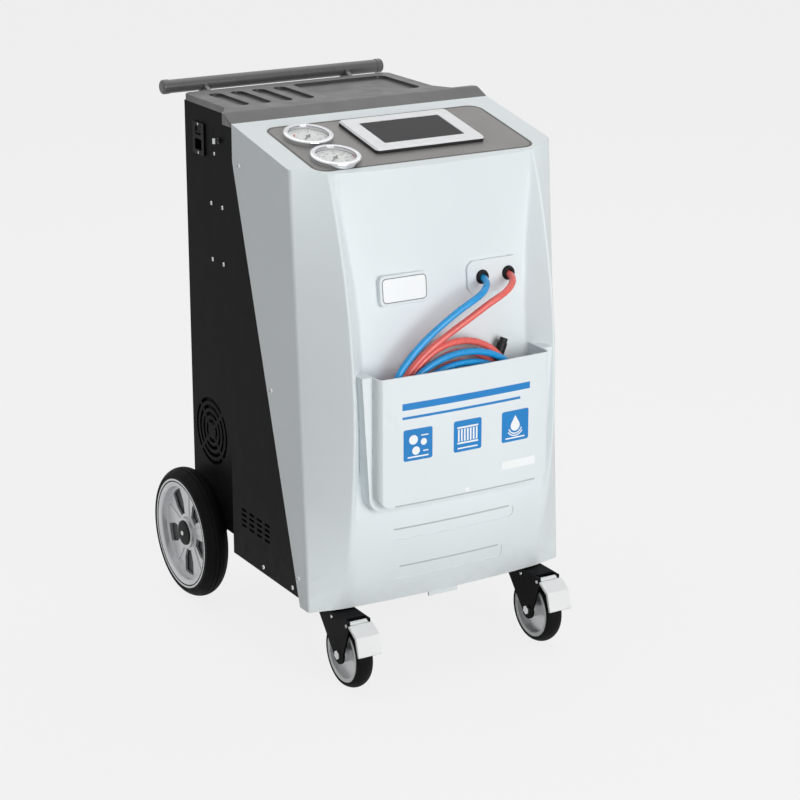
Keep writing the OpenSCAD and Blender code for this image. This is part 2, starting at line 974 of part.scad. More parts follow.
module screen_bezel() {
    color(chrome)
        on_control(screen_at[0], screen_at[1])
            difference() {
                union() {
                    linear_extrude(screen_h - 2)
                        round_rect(screen_w, screen_l, 8);
                    translate([0, 0, screen_h - 2 - eps])
                        linear_extrude(2 + eps)
                            round_rect(screen_w - 4, screen_l - 4, 6);
                    translate([-box_w / 2, -box_l / 2, -box_deep])
                        cube([box_w, box_l, box_deep + eps]);
                }
                translate([0, 0, screen_h - glass_t - 1])
                    linear_extrude(20)
                        round_rect(glass_w + 2 * fit, glass_l + 2 * fit, 3);
                translate([0, 0, screen_h - glass_t - 5])
                    linear_extrude(20)
                        round_rect(glass_w - 2 * glass_lap, glass_l - 2 * glass_lap, 3);
            }
}

module screen_glass() {
    color([0.05, 0.05, 0.06])
        on_control(screen_at[0], screen_at[1])
            translate([0, 0, screen_h - glass_t - 1])
                linear_extrude(glass_t)
                    round_rect(glass_w, glass_l, 3 - fit);
}

// Rear wheels and axle

module at_wheel(s) {
    translate([s * wheel_x, axle_y, wheel_r])
        mirror([s < 0 ? 1 : 0, 0, 0])
            rotate([0, 90, 0])
                children();
}

module wheel_rim() {
    barrel = 9;
    disc = 7;
    hub_r = 30;
    half = wheel_w / 2 - 4;
    color(grey)
        difference() {
            union() {
                rotate_extrude() {
                    difference() {
                        translate([rim_r - barrel, -half])
                            square([barrel, 2 * half]);
                        translate([rim_r, 0])
                            circle(4);
                    }
                    translate([axle_r + run, -hub_in])
                        square([hub_r - axle_r - run, hub_in + hub_out]);
                }
                difference() {
                    cylinder(r = rim_r - barrel + 1, h = disc);
                    for (k = [0:spokes - 1])
                        rotate(360 / spokes * k)
                            translate([0, 0, -1])
                                linear_extrude(disc + 2)
                                    spoke_window(hub_r + 6, rim_r - barrel - 6);
                    cylinder(r = hub_r - 5, h = thru, center = true);
                }
            }
            cylinder(r = axle_r + run, h = thru, center = true);
            translate([0, 0, hub_floor])
                cylinder(r = nut_r + 4, h = thru);
        }
}

// An opening between two spokes
module spoke_window(r0, r1) {
    half = 180 / spokes;
    spoke = 13;
    intersection() {
        difference() {
            circle(r1);
            circle(r0);
        }
        translate([spoke / 2 / sin(half), 0])
            polygon([[0, 0], 200 * [cos(half), sin(half)], [300, 0], 200 * [cos(half), -sin(half)]]);
    }
}

module wheel_tyre() {
    crown = 28;
    tread = 2;
    tread_w = 2.4;
    tread_step = 8;
    color(black)
        rotate_extrude()
            difference() {
                intersection() {
                    translate([rim_r + fit, -wheel_w / 2])
                        square([wheel_r, wheel_w]);
                    translate([wheel_r - crown, 0])
                        circle(crown);
                }
                for (s = [-1, 1])
                    translate([rim_r + 4, s * wheel_w / 2])
                        circle(2, $fn = 24);
                for (s = [-1:1])
                    translate([wheel_r - tread, s * tread_step - tread_w / 2])
                        square([2 * tread, tread_w]);
            }
}

module left_wheel_rim() at_wheel(-1) wheel_rim();
module right_wheel_rim() at_wheel(1) wheel_rim();
module left_wheel_tyre() at_wheel(-1) wheel_tyre();
module right_wheel_tyre() at_wheel(1) wheel_tyre();

module rear_axle() {
    side_gap = 0.4;
    color(chrome)
        translate([0, axle_y, wheel_r]) {
            rod_x(axle_r, -wheel_x - hub_floor - 12, wheel_x + hub_floor + 12);
            for (s = [0, 1])
                mirror([s, 0, 0]) {
                    rod_x(nut_r, wheel_x - hub_in - side_gap - 5, wheel_x - hub_in - side_gap);
                    translate([wheel_x + hub_floor + side_gap, 0, 0])
                        rotate([0, 90, 0])
                            cylinder(r = nut_r, h = 8, $fn = 6);
                }
        }
}

module axle_brackets() {
    plate = 6;
    inset = 30;
    base_w = 32;
    base_l = 84;
    x = rear_w / 2 - inset;
    color(black)
        for (s = [-1, 1])
            difference() {
                union() {
                    along_x(s * x - plate / 2, s * x + plate / 2) {
                        polygon([
                            [axle_y - base_l / 2, base_z], [axle_y + base_l / 2 - 2, base_z],
                            [axle_y + axle_r + 8, wheel_r - 4], [axle_y - axle_r - 8, wheel_r - 4]]);
                        translate([axle_y, wheel_r])
                            circle(axle_r + 8);
                    }
                    translate([s * x - base_w / 2, axle_y - base_l / 2, base_z - 4])
                        cube([base_w, base_l, 4]);
                }
                translate([0, axle_y, wheel_r])
                    rod_x(axle_r + fit, s * x - inset, s * x + inset);
            }
}

// Front casters, drawn about the centre line and then set to each side

module at_caster(s) {
    translate([s * caster_x, 0, 0])
        children();
}

module caster_plate() {
    plate_w = 72;
    plate_l = 74;
    plate_back = 18;
    color(dark)
        difference() {
            union() {
                translate([0, swivel_y + plate_back, base_z - plate_t])
                    linear_extrude(plate_t)
                        round_rect(plate_w, plate_l, 8);
                translate([0, swivel_y, base_z - plate_t - race_h])
                    cylinder(r1 = race_r - 1, r2 = race_r - 8, h = race_h + eps);
            }
            translate([0, swivel_y, base_z - plate_t - race_h - 1])
                cylinder(r = king_r + run, h = race_h + plate_t + 2);
        }
}

module fork_leg() {
    eye_r = 17;
    apron = 14;
    front_y = pedal_at[0] - 7;
    translate(axle_at)
        circle(eye_r);
    polygon([
        [fork_back, fork_top], [fork_back, fork_top - apron], axle_at + [eye_r - 1, -6],
        axle_at + [1 - eye_r, 6], [front_y, pedal_at[1] - 8], [front_y, fork_top]]);
}

module caster_fork() {
    reach = 19;
    color(black)
        difference() {
            union() {
                for (s = [0, 1])
                    mirror([s, 0, 0])
                        along_x(leg_x, leg_x + fork_t)
                            fork_leg();
                translate([-leg_x - fork_t, axle_at[0] - reach, fork_top - crown_t])
                    cube([2 * leg_x + 2 * fork_t, fork_back - axle_at[0] + reach, crown_t]);
                translate([0, swivel_y, fork_top - crown_t])
                    cylinder(r = race_r + 2, h = crown_t);
                translate([0, swivel_y, fork_top - eps])
                    cylinder(r = king_r, h = race_h + plate_t);
            }
            translate([0, axle_at[0], axle_at[1]])
                rod_x(caster_pin + run, -thru, thru);
            translate([0, pedal_at[0], pedal_at[1]])
                rod_x(pedal_pin + run, -thru, thru);
        }
}

module caster_axle() {
    head = 4;
    out = leg_x + fork_t;
    color(chrome)
        translate([0, axle_at[0], axle_at[1]]) {
            rod_x(caster_pin, -out - head, out + head);
            for (s = [0, 1])
                mirror([s, 0, 0])
                    translate([out, 0, 0])
                        rotate([0, 90, 0])
                            cylinder(r = 8.5, h = head, $fn = 6);
        }
}

module at_caster_axle() {
    translate([0, axle_at[0], axle_at[1]])
        rotate([0, 90, 0])
            children();
}

module caster_wheel() {
    core = caster_r - 11;
    half = caster_w / 2;
    web = 5;
    color(grey)
        at_caster_axle()
            rotate_extrude()
                difference() {
                    union() {
                        translate([caster_pin + run, -half - 1])
                            square([10, caster_w + 2]);
                        translate([caster_pin + run, -web])
                            square([core - caster_pin - run, 2 * web]);
                        translate([core - 7, 1 - half])
                            square([7, caster_w - 2]);
                    }
                    translate([core, 0])
                        circle(3);
                }
}

module caster_tyre() {
    core = caster_r - 11;
    crown = 22;
    color(black)
        at_caster_axle()
            rotate_extrude()
                intersection() {
                    translate([core + fit, -caster_w / 2])
                        square([caster_r, caster_w]);
                    translate([caster_r - crown, 0])
                        circle(crown);
                }
}

// A foot pedal that curves round the wheel, hinged between the fork's legs
module brake_pedal() {
    plate = 5;
    side_gap = 0.5;
    in_w = 2 * (leg_x - side_gap);
    path = [pedal_at + [-11.5, 1], pedal_at + [-34, -12], pedal_at + [-43.5, -42]];
    out_w = 2 * (leg_x + fork_t + 1);
    color(white) {
        translate([0, pedal_at[0], pedal_at[1]]) {
            rod_x(2 * pedal_pin, -in_w / 2, in_w / 2);
            rod_x(pedal_pin, -out_w / 2, out_w / 2);
        }
        along_x(-in_w / 2, in_w / 2)
            bar(pedal_at, path[0], plate);
        for (i = [0, 1])
            along_x(-pedal_w / 2, pedal_w / 2)
                bar(path[i], path[i + 1], plate);
    }
}

// A strip with round ends between two points
module bar(p, q, w) {
    hull()
        for (c = [p, q])
            translate(c)
                circle(w / 2, $fn = 24);
}

module left_caster_plate() at_caster(-1) caster_plate();
module left_caster_fork() at_caster(-1) caster_fork();
module left_caster_axle() at_caster(-1) caster_axle();
module left_caster_wheel() at_caster(-1) caster_wheel();
module left_caster_tyre() at_caster(-1) caster_tyre();
module left_brake_pedal() at_caster(-1) brake_pedal();
module right_caster_plate() at_caster(1) caster_plate();
module right_caster_fork() at_caster(1) caster_fork();
module right_caster_axle() at_caster(1) caster_axle();
module right_caster_wheel() at_caster(1) caster_wheel();
module right_caster_tyre() at_caster(1) caster_tyre();
module right_brake_pedal() at_caster(1) brake_pedal();

// Power inlet with its rocker switch, on the left rear leaf

inlet_body = [38, 50];
inlet_plate = [46, 60];
inlet_t = 3;
inlet_deep = 30;
rocker_hole = [22, 15];
rocker_z = 14;
rocker_pin = 1.5;
rocker_rest = 10;

// Local frame of the inlet: +X points out of the cabinet's left side
module at_inlet() {
    translate([-rear_w / 2, inlet_y, inlet_z])
        rotate([0, 0, 180])
            children();
}

module power_inlet() {
    socket = [27, 20];
    socket_z = -11;
    socket_deep = 20;
    color(black)
        at_inlet() {
            difference() {
                union() {
                    along_x(0, inlet_t)
                        round_rect(inlet_plate[0], inlet_plate[1], 4);
                    along_x(-inlet_deep, eps)
                        square(inlet_body, center = true);
                }
                along_x(inlet_t - socket_deep, inlet_t + 1)
                    translate([0, socket_z])
                        square(socket, center = true);
                along_x(inlet_t - 16, inlet_t + 1)
                    translate([0, rocker_z])
                        square(rocker_hole, center = true);
                translate([-4, 0, rocker_z])
                    rotate([90, 0, 0])
                        cylinder(r = rocker_pin + run, h = 32, center = true);
            }
            for (y = [-1, 0, 1])
                along_x(inlet_t - socket_deep - eps, inlet_t - 7)
                    translate([7 * y, socket_z + (y == 0 ? -2 : 2)])
                        square([2, 4], center = true);
        }
}

module rocker_switch() {
    w = rocker_hole[0] - 1.6;
    h = rocker_hole[1] / 2 - 1.4;
    pin_l = 29;
    color(black)
        at_inlet()
            translate([-4, 0, rocker_z])
                rotate([0, -rocker_rest, 0]) {
                    rotate([90, 0, 0]) {
                        linear_extrude(w, center = true)
                            polygon([[0, -h], [5, -h], [6.5, -h + 1], [5, 0], [6.5, h - 1], [5, h],
                                     [0, h], [-4, 0]]);
                        cylinder(r = rocker_pin, h = pin_l, center = true);
                    }
                }
}

// Fan, condenser and the machinery on the floor

fan_in = rear_w / 2 - sheet - fit;
shaft_r = 3;
motor_r = 22;

module at_fan() {
    translate([-fan_in, fan_y, fan_z])
        rotate([0, 90, 0])
            children();
}

module fan_frame() {
    side = 2 * fan_r + 14;
    web = 4;
    motor_l = 14;
    shaft_l = 18;
    color(black)
        at_fan()
            union() {
                difference() {
                    linear_extrude(fan_t)
                        round_rect(side, side, 8);
                    translate([0, 0, -1])
                        cylinder(r = fan_r, h = fan_t + 2);
                }
                translate([0, 0, fan_t - motor_l])
                    cylinder(r = motor_r, h = motor_l);
                for (a = [45, 135])
                    rotate(a)
                        translate([0, 0, fan_t - web / 2])
                            cube([2 * fan_r + 4, 2 * web, web], center = true);
                translate([0, 0, fan_t - motor_l - shaft_l])
                    cylinder(r = shaft_r, h = shaft_l + eps);
            }
}

module fan_impeller() {
    blades = 7;
    depth = 14;
    tip_gap = 3;
    chord = 20;
    blade_t = 2;
    color(dark)
        at_fan()
            translate([0, 0, 4])
                difference() {
                    union() {
                        cylinder(r = motor_r + 1, h = depth + 2);
                        for (k = [0:blades - 1])
                            rotate(360 / blades * k)
                                translate([motor_r - 2, 0, depth / 2 + 1])
                                    rotate([38, 0, 0])
                                        translate([0, -chord / 2, -blade_t / 2])
                                            cube([fan_r - tip_gap - motor_r + 1, chord, blade_t]);
                    }
                    translate([0, 0, -1])
                        cylinder(r = shaft_r + run, h = depth + 8);
                }
}

module condenser() {
    deep = 30;
    side = 2 * fan_r + 10;
    fins = 18;
    step = side / fins;
    fin_t = 1.2;
    plate = 4;
    tube = 8;
    tube_out = 2;
    color(chrome)
        at_fan()
            translate([0, 0, fan_t]) {
                for (s = [-1, 1])
                    translate([s * (side - plate) / 2, 0, deep / 2])
                        cube([plate, side, deep], center = true);
                for (k = [0:fins])
                    translate([0, (k - fins / 2) * step, deep / 2])
                        cube([side - plate / 2, fin_t, deep], center = true);
                for (k = [-2:2])
                    translate([side / 7 * k - tube / 2, -side / 2 - tube_out, (deep - tube) / 2])
                        cube([tube, side + 2 * tube_out, tube]);
            }
}

floor_top = base_z + floor_t;
compressor_at = [130, 125, floor_top];
pump_at = [-35, 225, floor_top + 66];
tank_at = [-60, -80, floor_top];
scale_h = 24;

module compressor() {
    r = 62;
    h = 140;
    dome = 26;
    foot = 12;
    foot_r = 14;
    color(black)
        translate(compressor_at) {
            translate([0, 0, foot])
                cylinder(r = r, h = h);
            translate([0, 0, foot + h])
                cylinder(r1 = r, r2 = r - dome, h = dome);
            for (a = [45:90:315])
                rotate(a)
                    translate([r - 4, 0, 0])
                        cylinder(r = foot_r, h = foot + 4);
        }
}

module vacuum_pump() {
    r = 48;
    l = 170;
    foot = 20;
    foot_in = 6;
    foot_top = 8;
    cap_l = 24;
    cap_step = 10;
    color(grey)
        translate(pump_at) {
            rod_x(r, -l / 2, l / 2);
            rod_x(r - cap_step, l / 2 - eps, l / 2 + cap_l);
            for (s = [-1, 1])
                translate([s * l / 3 - foot / 2, foot_in - r, floor_top - pump_at[2]])
                    cube([foot, 2 * (r - foot_in), r - foot_top]);
        }
}

module tank_scale() {
    side = 200;
    base = 6;
    top = 4;
    cell_r = 24;
    corner = 12;
    color(chrome)
        translate(tank_at) {
            linear_extrude(base)
                round_rect(side, side, corner);
            cylinder(r = cell_r, h = scale_h - top + eps);
            translate([0, 0, scale_h - top])
                linear_extrude(top)
                    round_rect(side, side, corner);
        }
}

// A standing cylinder with domed ends and a foot ring, hollow up through its neck
module refrigerant_tank() {
    r = 90;
    h = 300;
    dome = 40;
    foot = 18;
    shell = 3;
    neck = 16;
    color(grey)
        translate(tank_at + [0, 0, scale_h])
            rotate_extrude() {
                translate([r - 22, 0])
                    square([6, foot + dome / 2]);
                translate([0, foot])
                    difference() {
                        union() {
                            tank_form(r, h, dome);
                            translate([0, h - dome / 4])
                                square([neck, dome]);
                        }
                        translate([0, shell])
                            tank_form(r - shell, h - 2 * shell, dome - shell);
                        translate([0, h - dome / 2])
                            square([neck / 3, 2 * dome]);
                    }
            }
}

module tank_form(r, h, dome) {
    translate([0, dome])
        square([r, h - 2 * dome]);
    square([r - dome, h]);
    for (z = [dome, h - dome])
        intersection() {
            translate([r - dome, z])
                circle(dome);
            square([r, h]);
        }
}

// Hoses: the runs that show, the coils in the pocket and the couplers at their ends

module ellipse_plate(a, b) {
    scale([a, b])
        circle(1);
}

// A flat coil in one layer of the pocket
module flat_coil(layer, mid_z, outer, inner) {
    along_y(layer + hose_r, layer - hose_r)
        translate([0, mid_z])
            difference() {
                ellipse_plate(outer[0], outer[1]);
                ellipse_plate(inner[0], inner[1]);
            }
}

module blue_hose() {
    color(blue) {
        skin(tube_rings(blue_run, hose_r));
        skin(tube_rings(blue_tail, hose_r));
    }
}

module red_hose() {
    color(red) {
        skin(tube_rings(red_run, hose_r));
        skin(tube_rings(red_tail, hose_r));
    }
}

module blue_coil() {
    color(blue)
        flat_coil(blue_layer, mid_z = 475, outer = [148, 121], inner = [90, 70]);
}

module red_coil() {
    color(red)
        flat_coil(red_layer, mid_z = 486, outer = [128, 126], inner = [70, 75]);
}

// A quick coupler, drawn along Z from the end of the hose
module coupler() {
    neck = 12;
    grip = 26;
    nose = 8;
    cylinder(r = coupler_r - 2, h = neck + grip + nose);
    translate([0, 0, neck])
        cylinder(r = coupler_r, h = grip);
}

module blue_coupler() {
    color(black)
        translate(blue_tail[4])
            rotate([0, -90, 0])
                coupler();
}

module red_coupler() {
    color(black)
        translate(red_tail[4])
            rotate([0, 22, 0])
                coupler();
}

chassis_floor();
left_side_panel();
right_side_panel();
rear_panel();
front_cover();
hose_pocket();
badge_plate();
port_plate();
hose_grommets();
top_tray();
push_bar();
bar_brackets();
control_panel();
screen_bezel();
screen_glass();
low_gauge_case();
low_gauge_bezel();
low_gauge_dial();
low_gauge_lens();
low_gauge_needle();
high_gauge_case();
high_gauge_bezel();
high_gauge_dial();
high_gauge_lens();
high_gauge_needle();
rear_axle();
axle_brackets();
left_wheel_rim();
left_wheel_tyre();
right_wheel_rim();
right_wheel_tyre();
left_caster_plate();
left_caster_fork();
left_caster_axle();
left_caster_wheel();
left_caster_tyre();
left_brake_pedal();
right_caster_plate();
right_caster_fork();
right_caster_axle();
right_caster_wheel();
right_caster_tyre();
right_brake_pedal();
power_inlet();
rocker_switch();
fan_frame();
fan_impeller();
condenser();
compressor();
vacuum_pump();
tank_scale();
refrigerant_tank();
blue_hose();
blue_coil();
blue_coupler();
red_hose();
red_coil();
red_coupler();
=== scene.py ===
import json
import math

import bmesh
import bpy
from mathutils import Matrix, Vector
from mathutils.bvhtree import BVHTree


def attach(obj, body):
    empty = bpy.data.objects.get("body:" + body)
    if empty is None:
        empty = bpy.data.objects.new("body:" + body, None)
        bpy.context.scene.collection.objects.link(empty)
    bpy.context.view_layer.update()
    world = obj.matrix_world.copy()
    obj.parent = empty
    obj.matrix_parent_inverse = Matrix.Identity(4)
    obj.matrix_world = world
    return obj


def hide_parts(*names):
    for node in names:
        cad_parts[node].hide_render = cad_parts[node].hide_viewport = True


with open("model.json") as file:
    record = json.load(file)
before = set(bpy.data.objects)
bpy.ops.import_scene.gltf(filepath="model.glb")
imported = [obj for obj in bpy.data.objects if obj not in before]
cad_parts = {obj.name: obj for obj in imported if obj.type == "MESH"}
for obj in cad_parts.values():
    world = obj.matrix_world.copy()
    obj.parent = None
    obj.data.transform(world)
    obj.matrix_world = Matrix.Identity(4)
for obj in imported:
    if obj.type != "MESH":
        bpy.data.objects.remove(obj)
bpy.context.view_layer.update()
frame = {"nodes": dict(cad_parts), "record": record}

nodes = frame["nodes"]
scene = bpy.context.scene
MM = 0.001
SIDES = ((-1, "left"), (1, "right"))


def show(name, data):
    o = bpy.data.objects.new(name, data)
    scene.collection.objects.link(o)
    return o


# Camera: the photograph's width and the lens are in pixels, the sensor in millimetres

PHOTO, FOCAL, SENSOR = 800, 2334.5, 36
YAW, PITCH = math.radians(30.5), math.radians(-17.9)
STAND = (-2.0213, -3.5572, 1.7345)


def place_camera():
    data = bpy.data.cameras.new("camera")
    data.lens = FOCAL * SENSOR / PHOTO
    data.sensor_width = SENSOR
    camera = show("camera", data)
    camera.location = STAND
    camera.rotation_euler = (math.pi / 2 + PITCH, 0, -YAW)
    scene.camera = camera


place_camera()
scene.view_settings.view_transform = "Standard"


# Places on the solids, from their own sizes in millimetres

TILT = math.radians(11.4)
SLOPE_Y, SLOPE_Z = 4, 953
CONTROL_Y = -128
CONTROL = Vector((0, CONTROL_Y, SLOPE_Z + (CONTROL_Y - SLOPE_Y) * math.tan(TILT))) * MM
RIGHT = Vector((1, 0, 0))
ALONG = Vector((0, math.cos(TILT), math.sin(TILT)))
UP = Vector((0, -math.sin(TILT), math.cos(TILT)))

LEAN = 0.105
FACE_Y, FACE_TOP = 240, 895
BOW, BOW_HALF = 10, 202
FACE_OUT = Vector((0, -1, LEAN)).normalized()
FACE_UP = Vector((0, LEAN, 1)).normalized()

POCKET_FRONT, POCKET_SWEEP = -354.0, 5922.0


def on_control(x, v, h=0.0):
    """A place on the sloping panel with its directions across, up the slope and out."""
    return CONTROL + (x * RIGHT + v * ALONG + h * UP) * MM, RIGHT, ALONG, UP


def on_face(x, z, h):
    """A place on the cover's front, above its knee, with its directions across, up and out."""
    y = FACE_Y + LEAN * (FACE_TOP - z) + BOW * (1 - (x / BOW_HALF) ** 2)
    return Vector((x, -y, z)) * MM + FACE_OUT * h * MM, RIGHT, FACE_UP, FACE_OUT


def pocket_front(x):
    return POCKET_FRONT + x * x / POCKET_SWEEP


def on_pocket(x, z):
    """A place on the pocket's bowed front with its directions across, up and out."""
    across = Vector((1, 2 * x / POCKET_SWEEP, 0)).normalized()
    up = Vector((0, 0, 1))
    return Vector((x, pocket_front(x), z)) * MM, across, up, across.cross(up)


# Materials; a look goes from its first value to its last as a noise goes from low to high

NOISE_LOW, NOISE_HIGH = 0.3, 0.7
FLECK_LOW, FLECK_HIGH = 0.58, 0.7
DUST_LOW, DUST_HIGH = 0.35, 0.7
DUST_SCALE, DUST_DETAIL, DUST_ROUGH = 24.0, 6.0, 0.7
GLOSS_FINER = 3.1


class Graph:
    """A node tree of a material or the world, with short calls to add and join nodes."""

    def __init__(self, owner, out="OutputMaterial"):
        owner.use_nodes = True
        self.tree = owner.node_tree
        self.tree.nodes.clear()
        self.out = self.add(out)

    def add(self, kind, inputs=None, **props):
        n = self.tree.nodes.new("ShaderNode" + kind)
        for k, v in props.items():
            setattr(n, k, v)
        for k, v in (inputs or {}).items():
            self.put(n, k, v)
        return n

    def put(self, n, key, value):
        if isinstance(value, bpy.types.NodeSocket):
            self.tree.links.new(value, n.inputs[key])
        else:
            n.inputs[key].default_value = value

    def noise(self, coord, scale, detail=3.0, rough=0.5):
        n = self.add("TexNoise", {"Vector": coord, "Scale": scale, "Detail": detail, "Roughness": rough})
        return n.outputs["Fac"]

    def ramp(self, fac, low, first, high, last):
        """A blend of two colours as a value goes from low to high."""
        n = self.add("ValToRGB", {"Fac": fac})
        for stop, at, color in zip(n.color_ramp.elements, (low, high), (first, last)):
            stop.position = at
            stop.color = (*color, 1)
        return n.outputs["Color"]

    def span(self, value, a, b, lo, hi):
        n = self.add("MapRange", {"Value": value, "From Min": a, "From Max": b, "To Min": lo, "To Max": hi})
        return n.outputs["Result"]

    def math(self, op, a, b):
        return self.add("Math", {0: a, 1: b}, operation=op).outputs[0]

    def mix(self, fac, a, b):
        """A blend of two colours; a node that mixes colours has them at inputs 6 and 7 and output 2."""
        n = self.add("Mix", data_type="RGBA")
        self.put(n, 0, fac)
        for k, v in ((6, a), (7, b)):
            self.put(n, k, (*v, 1) if isinstance(v, tuple) else v)
        return n.outputs[2]

    def seen(self):
        """One for a ray that shows the backdrop: from the camera, through glass or off a gloss."""
        rays = self.add("LightPath").outputs
        clear = self.math("MAXIMUM", rays["Is Camera Ray"], rays["Is Transmission Ray"])
        return self.math("MAXIMUM", clear, rays["Is Glossy Ray"])


def shade(c, k):
    return tuple(min(1.0, x * k) for x in c)


def material(name, color, rough, metal=0.0, vary=0.06, blotch=7.0, swing=0.06, grain=900.0, bump=0.08,
             depth=0.0003, shine=0.5, stretch=(1, 1, 1), dust=None, flecks=None, sockets=None):
    """A surface with uneven colour and gloss and a fine grain.

    dust gives its colour, the heights in metres where it is full and where it ends, and its strength.
    flecks gives their colour and their scale.
    """
    mat = bpy.data.materials.new(name)
    g = Graph(mat)
    coord = g.add("TexCoord").outputs["Object"]
    place = g.add("Mapping", {"Vector": coord, "Scale": stretch}).outputs["Vector"]
    cloud = g.noise(place, blotch, 4.0, 0.55)
    col = g.ramp(cloud, NOISE_LOW, shade(color, 1 - vary), NOISE_HIGH, shade(color, 1 + vary))
    if flecks:
        tint, scale = flecks
        spots = g.ramp(g.noise(place, scale, 2.0), FLECK_LOW, (0, 0, 0), FLECK_HIGH, (1, 1, 1))
        col = g.mix(spots, col, tint)
    if dust:
        tint, full, end, most = dust
        height = g.add("SeparateXYZ", {"Vector": coord}).outputs["Z"]
        low = g.span(height, full, end, 1.0, 0.0)
        film = g.noise(place, DUST_SCALE, DUST_DETAIL, DUST_ROUGH)
        patches = g.span(film, DUST_LOW, DUST_HIGH, 0.0, most)
        col = g.mix(g.math("MULTIPLY", low, patches), col, tint)
    sheen = g.noise(place, blotch * GLOSS_FINER, 3.0)
    gloss = g.span(sheen, NOISE_LOW, NOISE_HIGH, rough - swing, rough + swing)
    relief = g.add("Bump", {"Height": g.noise(place, grain, 2.0), "Strength": bump, "Distance": depth})
    bsdf = g.add("BsdfPrincipled", {"Base Color": col, "Roughness": gloss, "Metallic": metal,
                                    "Specular IOR Level": shine, "Normal": relief.outputs["Normal"],
                                    **(sockets or {})})
    g.put(g.out, "Surface", bsdf.outputs["BSDF"])
    return mat


def screen_frame():
    """The screen's bezel: silver on top, black round its sides."""
    top_from, top_full = 5.8, 6.2
    level = CONTROL.z - CONTROL.y * math.tan(TILT)
    mat = bpy.data.materials.new("screen_frame")
    g = Graph(mat)
    coord = g.add("TexCoord").outputs["Object"]
    p = g.add("SeparateXYZ", {"Vector": coord}).outputs
    rise = g.math("SUBTRACT", p["Z"], g.math("MULTIPLY", p["Y"], math.tan(TILT)))
    top = g.span(rise, level + top_from * MM, level + top_full * MM, 0.0, 1.0)
    cloud = g.ramp(g.noise(coord, 30.0), NOISE_LOW, (0.78, 0.795, 0.81), NOISE_HIGH, (0.83, 0.845, 0.86))
    col = g.mix(top, (0.012, 0.012, 0.013), cloud)
    gloss = g.span(g.noise(coord, 40.0), NOISE_LOW, NOISE_HIGH, 0.3, 0.4)
    relief = g.add("Bump", {"Height": g.noise(coord, 1500.0), "Strength": 0.1, "Distance": 0.0003})
    bsdf = g.add("BsdfPrincipled", {"Base Color": col, "Roughness": gloss,
                                    "Normal": relief.outputs["Normal"]})
    g.put(g.out, "Surface", bsdf.outputs["BSDF"])
    return mat


